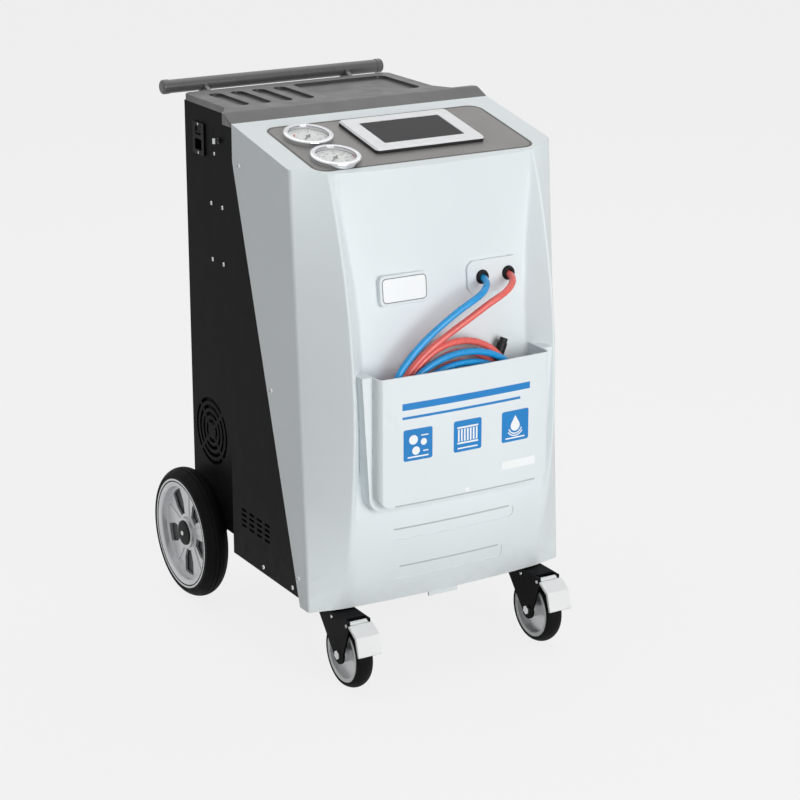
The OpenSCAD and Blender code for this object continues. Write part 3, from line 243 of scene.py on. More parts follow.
DUST = (0.30, 0.28, 0.25)
PALE_DUST = (0.42, 0.42, 0.40)
MATERIALS = {
    "cover_white": material(
        "moulded_cover", (0.76, 0.815, 0.835), 0.36, vary=0.018, blotch=3.0, grain=420.0, bump=0.05,
        depth=0.0004, shine=0.25, dust=(PALE_DUST, 0.13, 0.26, 0.16)),
    "pocket_white": material(
        "pocket_plastic", (0.77, 0.825, 0.845), 0.33, vary=0.02, blotch=4.0, grain=420.0, bump=0.05,
        shine=0.25),
    "panel_black": material(
        "powder_coat", (0.0070, 0.0070, 0.0077), 0.44, vary=0.04, blotch=9.0, swing=0.02, grain=1300.0,
        bump=0.10, depth=0.0004, shine=0.03, dust=(DUST, 0.14, 0.30, 0.07)),
    "tray_grey": material(
        "tray_plastic", (0.058, 0.058, 0.060), 0.34, vary=0.05, blotch=8.0, grain=1500.0, bump=0.09),
    "bar_black": material("bar_paint", (0.118, 0.118, 0.120), 0.30, vary=0.04, grain=1100.0, bump=0.06),
    "overlay_dark": material(
        "panel_film", (0.205, 0.199, 0.190), 0.40, vary=0.07, blotch=5.0, grain=2200.0, bump=0.15,
        flecks=((0.255, 0.247, 0.238), 2600.0)),
    "screen_silver": screen_frame(),
    "screen_black": material(
        "screen_glass", (0.006, 0.006, 0.007), 0.09, vary=0.3, swing=0.03, grain=60.0, bump=0.0, shine=0.12,
        sockets={"Coat Weight": 0.03, "Coat Roughness": 0.04}),
    "gauge_chrome": material(
        "chrome", (0.72, 0.73, 0.75), 0.14, metal=1.0, vary=0.04, swing=0.05, grain=600.0, bump=0.02),
    "dial_white": material("dial_face", (0.90, 0.90, 0.88), 0.5, vary=0.02, grain=1200.0, bump=0.05),
    "lens_clear": material(
        "gauge_lens", (0.95, 0.97, 0.98), 0.05, vary=0.01, swing=0.02, grain=50.0, bump=0.0,
        sockets={"Alpha": 0.16, "IOR": 1.5}),
    "needle_black": material("needle_paint", (0.015, 0.015, 0.015), 0.4, vary=0.1, bump=0.03),
    "case_black": material("case_paint", (0.02, 0.02, 0.021), 0.45, vary=0.12, bump=0.1),
    "wheel_grey": material(
        "rim_silver", (0.66, 0.675, 0.685), 0.36, metal=0.6, vary=0.05, dust=(DUST, 0.02, 0.2, 0.12)),
    "wheel_dark": material("rim_shade", (0.075, 0.078, 0.08), 0.5, vary=0.08, bump=0.1),
    "tyre_black": material(
        "tyre_rubber", (0.007, 0.007, 0.0075), 0.62, vary=0.2, blotch=16.0, grain=1000.0, bump=0.3,
        depth=0.0006, shine=0.06, dust=(shade(DUST, 0.4), 0.0, 0.07, 0.06)),
    "caster_black": material(
        "caster_steel", (0.0045, 0.0045, 0.0050), 0.40, vary=0.10, grain=1000.0, bump=0.1, shine=0.03,
        dust=(DUST, 0.05, 0.15, 0.008)),
    "steel": material(
        "brushed_steel", (0.60, 0.61, 0.62), 0.28, metal=1.0, vary=0.08, grain=500.0, stretch=(1, 6, 1)),
    "pedal_white": material(
        "pedal_plastic", (0.81, 0.83, 0.825), 0.36, vary=0.04, grain=700.0, dust=(DUST, 0.06, 0.14, 0.08)),
    "grommet_black": material("grommet_rubber", (0.012, 0.012, 0.013), 0.55, vary=0.2, bump=0.2, shine=0.15),
    "inlet_black": material("inlet_plastic", (0.009, 0.009, 0.010), 0.38, vary=0.12, bump=0.1, shine=0.06),
    "fan_black": material("fan_plastic", (0.02, 0.02, 0.021), 0.42, vary=0.12, bump=0.1, shine=0.15),
    "fin_metal": material("fin_aluminium", (0.58, 0.59, 0.60), 0.38, metal=1.0, vary=0.08, bump=0.1),
    "machine_black": material("machine_paint", (0.022, 0.022, 0.024), 0.35, vary=0.12, bump=0.1),
    "pump_grey": material(
        "pump_casting", (0.40, 0.42, 0.43), 0.48, metal=0.8, vary=0.08, grain=500.0, bump=0.3),
    "tank_grey": material("tank_paint", (0.42, 0.43, 0.44), 0.40, vary=0.05, bump=0.1),
    "hose_blue": material(
        "hose_blue", (0.010, 0.315, 0.70), 0.30, vary=0.08, blotch=30.0, grain=1600.0, bump=0.1),
    "hose_red": material(
        "hose_red", (0.80, 0.135, 0.115), 0.30, vary=0.08, blotch=30.0, grain=1600.0, bump=0.1),
    "coupler_black": material(
        "coupler_plastic", (0.016, 0.016, 0.018), 0.36, vary=0.12, bump=0.12, shine=0.2),
    "print_blue": material("print_blue", (0.004, 0.21, 0.56), 0.40, vary=0.05, bump=0.04),
    "print_white": material("print_white", (0.90, 0.925, 0.93), 0.42, vary=0.02, bump=0.04),
    "print_black": material("print_black", (0.02, 0.02, 0.02), 0.45, vary=0.1, bump=0.04),
    # Painted shadow: the dark line round the sloping panel's recessed edge
    "print_dark": material("print_dark", (0.055, 0.054, 0.052), 0.45, vary=0.06, bump=0.04),
    "print_red": material("print_red", (0.62, 0.03, 0.03), 0.45, vary=0.05, bump=0.04),
    # Painted shadow: grey for the strips under the pocket's lower edge and along the tops of the front's
    # sunken bands
    "painted_shadow_grey": material("painted_shadow_line", (0.43, 0.46, 0.465), 0.5, vary=0.05, bump=0.06),
    "print_grey": material("print_grey", (0.16, 0.165, 0.17), 0.45, vary=0.05, bump=0.04),
}


# The solids' finish: edges are in millimetres, the weld in metres

WELD = 1e-5
FLAT, SOFT, CRISP = math.radians(0.6), math.radians(32), math.radians(50)
EDGE = 0.8
EDGES = {"front_cover": 2.2, "hose_pocket": 1.4, "top_tray": 1.6, "badge_plate": 1.5, "port_plate": 1.5,
         "control_panel": 0.3, "fan_impeller": 0.3, "condenser": 0, "left_side_panel": 0.6,
         "right_side_panel": 0.6, "rear_panel": 0.6, "bar_brackets": 1.0, "low_gauge_needle": 0.15,
         "high_gauge_needle": 0.15, "rocker_switch": 0.4, "power_inlet": 0.7}
POCKET_PIECES = ("hose_pocket", "badge_plate", "port_plate")
# These have many windows in one flat face, which stays in triangles to keep the windows open
PIERCED = ("left_wheel_rim", "right_wheel_rim", "fan_frame")


def smooth(mesh):
    mesh.polygons.foreach_set("use_smooth", [True] * len(mesh.polygons))


def dress(name, mat):
    """Gives a solid its material, clean flat faces and softened edges."""
    o = nodes[name]
    mesh = o.data
    if "custom_normal" in mesh.attributes:
        mesh.attributes.remove(mesh.attributes["custom_normal"])
    smooth(mesh)
    mesh.materials.clear()
    mesh.materials.append(MATERIALS[mat])
    weld = o.modifiers.new("weld", "WELD")
    weld.merge_threshold = WELD
    if name not in PIERCED:
        flat = o.modifiers.new("flat", "DECIMATE")
        flat.decimate_type = "DISSOLVE"
        flat.angle_limit = FLAT
    edge = EDGES.get(name, EDGE)
    if edge:
        soft = o.modifiers.new("soft_edges", "BEVEL")
        soft.width = edge * MM
        soft.segments = 2
        soft.limit_method = "ANGLE"
        soft.angle_limit = SOFT
        soft.miter_outer = "MITER_ARC"
    crisp = o.modifiers.new("crisp", "EDGE_SPLIT")
    crisp.split_angle = CRISP
    even = o.modifiers.new("even", "WEIGHTED_NORMAL")
    even.keep_sharp = True


SLOTS = {p["node"]: p["material_slot"] for p in frame["record"]["subparts"]}
for name in nodes:
    dress(name, "pocket_white" if name in POCKET_PIECES else SLOTS[name])


# New pieces

JOIN = 1e-6
SHARP = math.radians(38)


def piece(name, bm, mat, body="machine"):
    """A finished piece that rides on a body."""
    bmesh.ops.remove_doubles(bm, verts=bm.verts, dist=JOIN)
    bmesh.ops.recalc_face_normals(bm, faces=bm.faces)
    mesh = bpy.data.meshes.new(name)
    bm.to_mesh(mesh)
    bm.free()
    smooth(mesh)
    mesh.set_sharp_from_angle(angle=SHARP)
    mesh.materials.append(MATERIALS[mat])
    o = show(name, mesh)
    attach(o, body)


def add_prism(bm, loop, place, h0, h1):
    """A flat shape: an outline in millimetres on a place, from h0 to h1 above it."""
    at, u, v, w = place
    low = [bm.verts.new(at + (a * u + b * v + h0 * w) * MM) for a, b in loop]
    high = [bm.verts.new(at + (a * u + b * v + h1 * w) * MM) for a, b in loop]
    bm.faces.new(low[::-1])
    bm.faces.new(high)
    for i in range(len(loop)):
        j = (i + 1) % len(loop)
        bm.faces.new((low[i], low[j], high[j], high[i]))


def add_lathe(bm, profile, at, axis, segments):
    """A turned shape: radii and heights in millimetres about an axis."""
    w = Vector(axis).normalized()
    u = w.orthogonal().normalized()
    v = w.cross(u)
    turns = [2 * math.pi * i / segments for i in range(segments)]
    rings = []
    for r, h in profile:
        if r:
            spots = [u * math.cos(a) * r + v * math.sin(a) * r + w * h for a in turns]
        else:
            spots = [w * h]
        rings.append([bm.verts.new(at + p * MM) for p in spots])
    for p, q in zip(rings, rings[1:]):
        for i in range(segments):
            j = (i + 1) % segments
            if len(p) == 1:
                bm.faces.new((p[0], q[i], q[j]))
            elif len(q) == 1:
                bm.faces.new((p[i], p[j], q[0]))
            else:
                bm.faces.new((p[i], p[j], q[j], q[i]))


def add_strip(bm, rows):
    """A closed strip through rows of four corners each."""
    rows = [[bm.verts.new(p) for p in row] for row in rows]
    for a, b in zip(rows, rows[1:]):
        for k in range(4):
            m = (k + 1) % 4
            bm.faces.new((a[k], a[m], b[m], b[k]))
    bm.faces.new(rows[0])
    bm.faces.new(rows[-1][::-1])


def prisms(name, loops, place, h0, h1, mat):
    bm = bmesh.new()
    for loop in loops:
        add_prism(bm, loop, place, h0, h1)
    piece(name, bm, mat)


def lathes(name, profiles, at, axis, segments, mat, body):
    bm = bmesh.new()
    for profile in profiles:
        add_lathe(bm, profile, at, axis, segments)
    piece(name, bm, mat, body)


# Outlines in millimetres, with angles in degrees

def arc(r, a0, a1, n):
    turns = [math.radians(a0 + (a1 - a0) * i / n) for i in range(n + 1)]
    return [(r * math.cos(a), r * math.sin(a)) for a in turns]


def moved(loop, x, y):
    return [(x + p, y + q) for p, q in loop]


def turned(loop, degrees):
    c, s = math.cos(math.radians(degrees)), math.sin(math.radians(degrees))
    return [(x * c - y * s, x * s + y * c) for x, y in loop]


def sector(r0, r1, a0, a1, n):
    return arc(r1, a0, a1, n) + arc(r0, a1, a0, n)


def box(x0, y0, x1, y1):
    return [(x0, y0), (x1, y0), (x1, y1), (x0, y1)]


def disc(r, x, y):
    """A circle of 24 corners."""
    return moved(arc(r, 0, 345, 23), x, y)


def drop(r, tip):
    """A circle drawn out to a tip above it."""
    a = math.degrees(math.acos(r / tip))
    return [(0, tip)] + arc(r, 90 + a, 450 - a, 24)


def rounded(w, h, r):
    pts = []
    for cx, cy, a in ((1, 1, 0), (-1, 1, 90), (-1, -1, 180), (1, -1, 270)):
        pts += moved(arc(r, a, a + 90, 6), cx * (w / 2 - r), cy * (h / 2 - r))
    return pts


def frame_line(w, h, r, t):
    """A thin rounded frame: its right and left sides and the short lengths between them."""
    out, inn = rounded(w, h, r), rounded(w - 2 * t, h - 2 * t, r - t)
    k = len(out) // 4
    right = out[3 * k:] + out[:k] + (inn[3 * k:] + inn[:k])[::-1]
    left = out[k:3 * k] + inn[k:3 * k][::-1]
    top = [out[k - 1], out[k], inn[k], inn[k - 1]]
    bottom = [out[3 * k - 1], out[3 * k], inn[3 * k], inn[3 * k - 1]]
    return [right, left, top, bottom]


# Hoses

HOSE_R = 6
CURVE_STEPS = 3
COIL_TURNS, COIL_STEPS = 3.5, 20
TURN_NARROWS, TURN_SHORTENS, TURN_SINKS = 13, 15.5, 3.5
BLUE_RUN = [(76, -272, 700), (71.9, -294.2, 698.3), (60.4, -313, 693.4), (43, -325.6, 686),
            (22.6, -330, 677.4), (0, -330.2, 666.5), (-23, -330, 653), (-48, -329.6, 637),
            (-74, -329.4, 618), (-99, -329.5, 596), (-121, -329.5, 570), (-136, -330.5, 540),
            (-142, -331, 514), (-142, -331, 490)]
BLUE_TAIL = [(92.1, -331, 491), (78.9, -331, 510.9), (59, -331, 524.1), (36.5, -331, 528.5)]
RED_RUN = [(129, -272, 700), (124.9, -294.2, 698.3), (113.4, -313, 693.4), (96, -325.6, 686),
           (75.6, -330, 677.4), (53, -329.6, 666.5), (31, -328.5, 654), (6, -327, 640), (-20, -325, 625),
           (-48, -322, 607), (-75, -319.5, 586), (-97, -318, 563), (-113, -317.5, 538), (-120.5, -317, 516),
           (-122, -317, 496)]
RED_TAIL = [(77.3, -314.8, 497), (80, -308.6, 515), (84.2, -302.5, 532.5), (90, -299.6, 550)]
BLUE_COIL, RED_COIL = (142, 123.8, 480.7, -331), (122, 128.8, 491.7, -317)


def curve_through(points):
    """Points on a smooth curve through the route's points."""
    out = []
    p = [3 * points[0] - 3 * points[1] + points[2]] + points + [3 * points[-1] - 3 * points[-2] + points[-3]]
    for i in range(1, len(p) - 2):
        a, b, c, d = p[i - 1:i + 3]
        for k in range(CURVE_STEPS):
            t = k / CURVE_STEPS
            out.append(0.5 * (2 * b + (c - a) * t + (2 * a - 5 * b + 4 * c - d) * t * t
                              + (3 * b - a - 3 * c + d) * t ** 3))
    return out + [points[-1]]


def coil(half_w, half_h, mid, layer):
    """Turns of a flat coil in the pocket, each inside the last and round a middle a little lower."""
    pts = []
    for i in range(1, int(COIL_TURNS * COIL_STEPS) + 1):
        n = i / COIL_STEPS
        t = math.pi + 2 * math.pi * n
        x = (half_w - TURN_NARROWS * n) * math.cos(t)
        z = mid - TURN_SINKS * n + (half_h - TURN_SHORTENS * n) * math.sin(t)
        pts.append(Vector((x, layer, z)))
    return pts


def hose(color, run, turns, tail):
    name, mat = "service_hose_" + color, "hose_" + color
    route = [Vector(p) for p in run] + turns + [Vector(p) for p in tail]
    pts = [p * MM for p in curve_through(route)]
    data = bpy.data.curves.new(name, "CURVE")
    data.dimensions = "3D"
    data.bevel_depth = HOSE_R * MM
    data.bevel_resolution = 5
    data.use_fill_caps = True
    data.materials.append(MATERIALS[mat])
    line = data.splines.new("POLY")
    line.points.add(len(pts) - 1)
    for q, p in zip(line.points, pts):
        q.co = (*p, 1)
    line.use_smooth = True
    o = show(name, data)
    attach(o, "machine")
    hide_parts(color + "_hose", color + "_coil")


hose("blue", BLUE_RUN, coil(*BLUE_COIL), BLUE_TAIL)
hose("red", RED_RUN, coil(*RED_COIL), RED_TAIL)


# Prints and trim on the pocket, which follow its bowed front, and a grey strip of painted shadow along its
# lower edge

STRIPES = ((-128, 128, 512, 524), (-128, 108, 496, 500.5))
ICON, ICON_R, ICON_X, ICON_Z = 56, 4, 98, 449
# Half width and heights of the grey strip of painted shadow under the pocket's lower edge
SHADOW_HALF, SHADOW_LOW, SHADOW_HIGH = 142, 341.6, 344
STUD_Z = 349
STUD = [(0, 1.4), (2.6, 1.2), (4.2, 0.6), (4.6, -0.3), (0, -0.3)]
PLATE = rounded(70, 15, 2)
PLATE_X, PLATE_Z = 106, 379
ICON_RISE, SIGN_RISE, PLATE_RISE = (-0.3, 0.2), (0.15, 0.32), (-0.4, 0.5)
RIBBON_STEPS, RIBBON_SINK, RIBBON_LIFT = 16, 0.2, 0.15


def add_ribbon(bm, x0, x1, z0, z1):
    """A flat strip that follows the pocket's front."""
    corners = ((-RIBBON_SINK, z0), (-RIBBON_SINK, z1), (RIBBON_LIFT, z1), (RIBBON_LIFT, z0))
    rows = []
    for i in range(RIBBON_STEPS + 1):
        x = x0 + (x1 - x0) * i / RIBBON_STEPS
        rows.append([Vector((x, pocket_front(x) - d, z)) * MM for d, z in corners])
    add_strip(bm, rows)


def ribbons(name, strips, mat):
    bm = bmesh.new()
    for strip in strips:
        add_ribbon(bm, *strip)
    piece(name, bm, mat)


def icons():
    """Three plain signs: bubbles, a finned cooler and a drop."""
    underline = box(-20, -23, 20, -20.5)
    bubbles = [disc(8.5, -9, 9), disc(6, 11, 3), disc(7.5, -4, -11)]
    bubbles += [box(10, -14, 20, -12), box(6, 14, 20, 16)]
    fins = [box(x - 1.6, -9.5, x + 1.6, 12.5) for x in range(-18, 19, 6)]
    finned = [box(-21, 14, 21, 17), box(-21, -14, 21, -11)] + fins
    cooling = [drop(9.5, 19), sector(13, 15, 200, 340, 16), sector(17, 19, 215, 325, 16)]
    for x, tag, art in ((-ICON_X, "left", bubbles), (0, "middle", finned), (ICON_X, "right", cooling)):
        place = on_pocket(x, ICON_Z)
        prisms("icon_" + tag, [rounded(ICON, ICON, ICON_R)], place, *ICON_RISE, "print_blue")
        prisms("icon_sign_" + tag, art + [underline], place, *SIGN_RISE, "print_white")


def pocket_stud():
    at, _, _, out = on_pocket(0, STUD_Z)
    lathes("pocket_stud", [STUD], at, out, 24, "print_white", "machine")


ribbons("pocket_stripes", STRIPES, "print_blue")
icons()
# A grey strip of painted shadow along the pocket's lower edge
ribbons("pocket_painted_shadow", [(-SHADOW_HALF, SHADOW_HALF, SHADOW_LOW, SHADOW_HIGH)], "painted_shadow_grey")
pocket_stud()
prisms("pocket_plate", [PLATE], on_pocket(PLATE_X, PLATE_Z), *PLATE_RISE, "print_white")


# Badge, a dark line of painted shadow round the panel, and dials; a frame has a width, a height, a corner
# radius and a line width

BADGE = on_face(-80, 700, 8)
BADGE_FRAME, BADGE_FACE = (87, 43, 8, 1.5), (83.6, 39.6, 6.3)
PANEL_SHADOW_FRAME = (434.6, 202.6, 24, 4.2)
LINE_RISE, FACE_RISE, BORDER_RISE = (-0.1, 0.14), (-0.1, 0.1), (-0.1, 0.12)
TICK_RISE, ZONE_RISE = (-0.05, 0.1), (-0.05, 0.06)
DIAL_X, DIAL_RISE = -160, 2.0
DIAL_START, DIAL_SWEEP = 225, 270
TICKS, TICK_END = 5, 32.4
LONG_TICK, SHORT_TICK = (26, 0.55), (29, 0.28)
NUMBER_R, NUMBER_SIZE = 20.5, 7.5


def add_number(bm, text, place, degrees):
    """A number on a dial, at an angle round the dial's middle."""
    at, u, v, w = place
    x, y = turned([(1, 0)], degrees)[0]
    middle = at + (u * x + v * y) * NUMBER_R * MM
    data = bpy.data.curves.new("number", "FONT")
    data.body = text
    data.size = NUMBER_SIZE
    data.align_x, data.align_y = "CENTER", "CENTER"
    data.extrude = 0.06
    data.resolution_u = 4
    o = bpy.data.objects.new("number", data)
    mesh = bpy.data.meshes.new_from_object(o)
    for k in mesh.vertices:
        k.co = middle + (k.co.x * u + k.co.y * v + k.co.z * w) * MM
    bm.from_mesh(mesh)
    bpy.data.objects.remove(o)
    bpy.data.meshes.remove(mesh)
    bpy.data.curves.remove(data)


def dial(name, v, numbers, zone, zone_r):
    """Ticks, numbers and a coloured zone on a gauge's face, over the needle's sweep."""
    place = on_control(DIAL_X, v, DIAL_RISE)
    bm = bmesh.new()
    steps = TICKS * (len(numbers) - 1)
    for i in range(steps + 1):
        inner, half = SHORT_TICK if i % TICKS else LONG_TICK
        tick = box(inner, -half, TICK_END, half)
        add_prism(bm, turned(tick, DIAL_START - DIAL_SWEEP * i / steps), place, *TICK_RISE)
    for i, n in enumerate(numbers):
        add_number(bm, str(n), place, DIAL_START - DIAL_SWEEP * i / (len(numbers) - 1))
    piece(name + "_scale", bm, "print_black")
    a0, a1 = (DIAL_START - DIAL_SWEEP * k for k in zone)
    prisms(name + "_zone", [sector(*zone_r, a1, a0, 28)], place, *ZONE_RISE, "print_red")


prisms("badge_line", frame_line(*BADGE_FRAME), BADGE, *LINE_RISE, "print_grey")
prisms("badge_face", [rounded(*BADGE_FACE)], BADGE, *FACE_RISE, "print_white")
# A dark frame line on the panel's edge: painted shadow of its recess
prisms("panel_painted_shadow", frame_line(*PANEL_SHADOW_FRAME), on_control(0, 0), *BORDER_RISE, "print_dark")
dial("low_dial", 41, range(0, 11, 2), (0.08, 0.32), (22.5, 26))
dial("high_dial", -57, range(0, 36, 5), (0.8, 1.0), (33, 35.4))


# Screws, bolts and rivets, each seated on its solid by a line from outside

FAR = 400
SCREW_R, BOLT_R, RIVET_R, SMALL_R = 4.2, 5.0, 3.4, 2.4
PANEL_SCREWS = ((138, 668), (183, 668), (138, 773), (183, 773), (40, 162), (-79, 162), (-190, 162))
COVER_SCREWS = ((-22, 884), (-128, 508), (-219, 190))
REAR_X, REAR_Z = 200, (170, 420, 680, 925)
BRACKET_X, FOOT_X, FOOT_Z = 150, 14, (890, 926)
INLET_Y, INLET_Z, INLET_SCREW = 226, 885, 26.4
CLIP_SCREW = (166, 867)
TREES = {}


def seat(name, start, way):
    """Where a straight line from outside meets a solid, and the direction out of its surface there."""
    if name not in TREES:
        o = nodes[name]
        corners = [o.matrix_world @ v.co for v in o.data.vertices]
        TREES[name] = BVHTree.FromPolygons(corners, [f.vertices[:] for f in o.data.polygons])
    at, out, _, _ = TREES[name].ray_cast(Vector(start) * MM, Vector(way))
    return at, (out if out.dot(Vector(way)) < 0 else -out)


def add_screw(heads, marks, at, out, r):
    """A pan head and the two bars of its cross."""
    pan = [(0, 0.56 * r), (0.5 * r, 0.5 * r), (0.84 * r, 0.32 * r), (r, 0.1 * r), (r, -0.3), (0, -0.3)]
    add_lathe(heads, pan, at, out, 20)
    u = out.orthogonal().normalized()
    v = out.cross(u)
    bar = box(-0.5 * r, -0.1 * r, 0.5 * r, 0.1 * r)
    add_prism(marks, bar, (at, u, v, out), 0.4 * r, 0.58 * r)
    add_prism(marks, bar, (at, v, -u, out), 0.4 * r, 0.585 * r)


def screws(name, node, starts, way, r):
    heads, marks = bmesh.new(), bmesh.new()
    for start in starts:
        add_screw(heads, marks, *seat(node, start, way), r)
    piece(name, heads, "steel")
    piece(name + "_cross", marks, "print_black")


def body_screws():
    for s, side in SIDES:
        panel = [(s * FAR, y, z) for y, z in PANEL_SCREWS]
        cover = [(s * FAR, y, z) for y, z in COVER_SCREWS]
        screws(side + "_panel_screws", side + "_side_panel", panel, (-s, 0, 0), SCREW_R)
        screws(side + "_cover_screws", "front_cover", cover, (-s, 0, 0), SCREW_R)
    rear = [(s * REAR_X, FAR, z) for s in (-1, 1) for z in REAR_Z]
    feet = [(s * BRACKET_X + k * FOOT_X, FAR, z) for s in (-1, 1) for k in (-1, 1) for z in FOOT_Z]
    inlet = [(-FAR, INLET_Y, INLET_Z + k * INLET_SCREW) for k in (-1, 1)]
    screws("rear_screws", "rear_panel", rear, (0, -1, 0), SCREW_R)
    screws("bracket_bolts", "bar_brackets", feet, (0, -1, 0), BOLT_R)
    screws("inlet_screws", "power_inlet", inlet, (1, 0, 0), SMALL_R)
    screws("clip_screw", "left_side_panel", [(-FAR, *CLIP_SCREW)], (1, 0, 0), RIVET_R)


# Lead clip, wheel and caster fittings

CLIP_Y, CLIP_Z = 152, 894
CLIP_FOOT, CLIP_R, CLIP_T, CLIP_HALF = 7, 5, 1.2, 5
HUB = (250, 236, 125)
HUB_CAP = [(0, 14.8), (16, 14.8), (17, 14.2), (23.4, 14.2), (24, 15), (23.2, 16.6), (8, 17.6), (0, 17.6)]
HUB_END = [(0, 17.4), (4.6, 17.4), (4.6, 19), (3.6, 20.2), (0, 20.8)]
TRIM = [[(94.5, 18.6), (100.1, 18.6), (100.1, 22.4), (98.6, 22.9), (96.2, 21.8), (94.5, 18.6)],
        [(102.2, 21.4), (105.8, 21.4), (105.8, 22.8), (104, 23), (102.2, 22.8), (102.2, 21.4)]]
SPOKES, WEB_R, WEB_RISE = 5, 90.7, (1.2, 5.6)
FLARE = [(29.5, -13), (56, -19)] + arc(WEB_R, -25, 25, 10) + [(56, 19), (29.5, 13)]
# A dark disc behind the spokes: painted shade for the windows between them
BACK = [(30.3, -3), (WEB_R, -3), (WEB_R, -1), (30.3, -1), (30.3, -3)]
CASTER = (197, -286, 62.5)
CASTER_RING = [(45.2, 14.8), (46, 15.5), (50.4, 15.7), (51.2, 14.8), (45.2, 14.8)]
RIVET_Y, RIVET_Z, RIVET_OUT = -262, 126, 100


def lead_clip():
    """A bent steel strip beside the mains inlet that keeps its lead in place."""
    at, out = seat("left_side_panel", (-FAR, CLIP_Y, CLIP_Z), (1, 0, 0))
    middle = (CLIP_FOOT - CLIP_R, CLIP_T + CLIP_R)
    outer = moved(arc(CLIP_R, -75, 90, 11), *middle)
    inner = moved(arc(CLIP_R - CLIP_T, 90, -75, 11), *middle)
    strip = [(0, 0), (CLIP_FOOT, 0), (CLIP_FOOT, CLIP_T)] + outer + inner + [(0, CLIP_T)]
    place = (at, Vector((0, -1, 0)), out, Vector((0, 0, 1)))
    prisms("lead_clip", [strip], place, -CLIP_HALF, CLIP_HALF, "steel")


def wheel_fittings(s, side):
    """Hub cap, axle end, trim rings, flared webs over the spokes and a dark disc behind them, painted shade
    in the spoke windows.
    """
    hub = Vector((s * HUB[0], *HUB[1:])) * MM
    out = Vector((s, 0, 0))
    body = side + "_wheel"
    lathes(side + "_hub_cap", [HUB_CAP], hub, out, 40, "inlet_black", body)
    lathes(side + "_hub_end", [HUB_END], hub, out, 24, "steel", body)
    lathes(side + "_wheel_trim", TRIM, hub, out, 72, "wheel_grey", body)
    web = bmesh.new()
    for k in range(SPOKES):
        a = math.pi * (2 * k + 1) / SPOKES
        spoke = Vector((0, math.sin(a), -math.cos(a)))
        add_prism(web, FLARE, (hub, spoke, out.cross(spoke), out), *WEB_RISE)
    piece(side + "_wheel_web", web, "wheel_grey", body)
    # The dark disc behind the spokes, painted shade in the windows between them
    lathes(side + "_wheel_painted_shade", [BACK], hub, out, 56, "wheel_dark", body)


def caster_fittings(s, side):
    """Pale rings on both faces of the caster's wheel and rivets through its fork."""
    axle = Vector((s * CASTER[0], *CASTER[1:])) * MM
    rings, heads, marks = bmesh.new(), bmesh.new(), bmesh.new()
    for k in (-1, 1):
        add_lathe(rings, CASTER_RING, axle, (k, 0, 0), 56)
        start = (s * CASTER[0] + k * RIVET_OUT, RIVET_Y, RIVET_Z)
        add_screw(heads, marks, *seat(side + "_caster_fork", start, (-k, 0, 0)), RIVET_R)
    piece(side + "_caster_rings", rings, "pedal_white", side + "_roller")
    piece(side + "_fork_rivets", heads, "steel", side + "_fork")
    piece(side + "_fork_rivets_cross", marks, "print_black", side + "_fork")


body_screws()
lead_clip()
for s, side in SIDES:
    wheel_fittings(s, side)
    caster_fittings(s, side)


# Grey strips of painted shadow along the tops of the two bands low on the front

BAND_START, BAND_STEPS = -600, 20
BAND_SINK, BAND_LIFT = 0.2, 0.12


def seam(name, half, z0, z1):
    """A thin grey strip of painted shadow across the front cover, from z0 up to z1, that follows its face.
    """
    inward, outward = Vector((0, BAND_SINK, 0)) * MM, Vector((0, -BAND_LIFT, 0)) * MM
    rows = []
    for i in range(BAND_STEPS + 1):
        x = half * (2 * i / BAND_STEPS - 1)
        low, high = (seat("front_cover", (x, BAND_START, z), (0, 1, 0))[0] for z in (z0, z1))
        rows.append([low + inward, high + inward, high + outward, low + outward])
    bm = bmesh.new()
    add_strip(bm, rows)
    piece(name, bm, "painted_shadow_grey")


# Painted shadow under the upper edge of each sunken band
seam("upper_band_painted_shadow", 118, 280.6, 283.8)
seam("lower_band_painted_shadow", 102, 206.6, 209.8)


# Stage and light

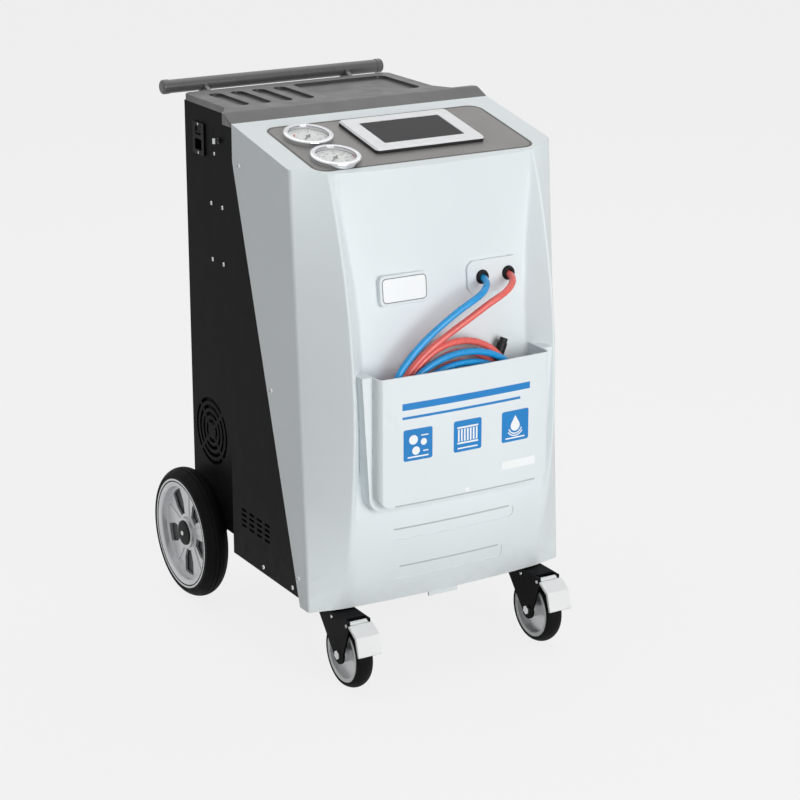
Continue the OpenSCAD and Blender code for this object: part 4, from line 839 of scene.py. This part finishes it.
FLOOR_HALF, FLOOR_GREY, FLOOR_PLAIN, FLOOR_SHARE = 30, 0.54, 0.965, 0.86
SKY_PLAIN = 0.887
SKY_FRONT, SKY_BACK, SKY_DIM, SKY_BRIGHT = -0.2, 0.9, 0.19, 0.8


def grey(value):
    return (value, value, value, 1)


def stage():
    """A pale floor that takes soft shadows and blends into the backdrop."""
    bm = bmesh.new()
    bmesh.ops.create_grid(bm, x_segments=1, y_segments=1, size=FLOOR_HALF)
    mesh = bpy.data.meshes.new("floor")
    bm.to_mesh(mesh)
    bm.free()
    show("floor", mesh)
    paper = bpy.data.materials.new("floor_paper")
    g = Graph(paper)
    lit = g.add("BsdfDiffuse", {"Color": grey(FLOOR_GREY)})
    plain = g.add("Emission", {"Color": grey(FLOOR_PLAIN), "Strength": 1.0})
    share = g.math("MULTIPLY", g.seen(), FLOOR_SHARE)
    mix = g.add("MixShader", {0: share, 1: lit.outputs[0], 2: plain.outputs[0]})
    g.put(g.out, "Surface", mix.outputs[0])
    mesh.materials.append(paper)


def sky():
    """Even soft light, brighter from behind, with a plain pale backdrop for the camera."""
    world = bpy.data.worlds.new("studio")
    scene.world = world
    g = Graph(world, "OutputWorld")
    way = g.add("TexCoord").outputs["Generated"]
    back = g.add("SeparateXYZ", {"Vector": way}).outputs["Y"]
    strength = g.span(back, SKY_FRONT, SKY_BACK, SKY_DIM, SKY_BRIGHT)
    soft = g.add("Background", {"Color": grey(1), "Strength": strength})
    plain = g.add("Background", {"Color": grey(SKY_PLAIN), "Strength": 1.0})
    mix = g.add("MixShader", {0: g.seen(), 1: soft.outputs[0], 2: plain.outputs[0]})
    g.put(g.out, "Surface", mix.outputs[0])


def lamp(name, at, target, size, watts):
    data = bpy.data.lights.new(name, "AREA")
    data.shape = "SQUARE"
    data.size = size
    data.energy = watts
    o = show(name, data)
    o.location = at
    o.rotation_euler = (Vector(target) - Vector(at)).to_track_quat("-Z", "Y").to_euler()


stage()
sky()
lamp("key", (0.1, -4.5, 1.45), (0, -0.1, 0.5), 2.6, 140)
lamp("top", (0.2, 0.9, 3.6), (0, 0, 0.6), 3.8, 46)
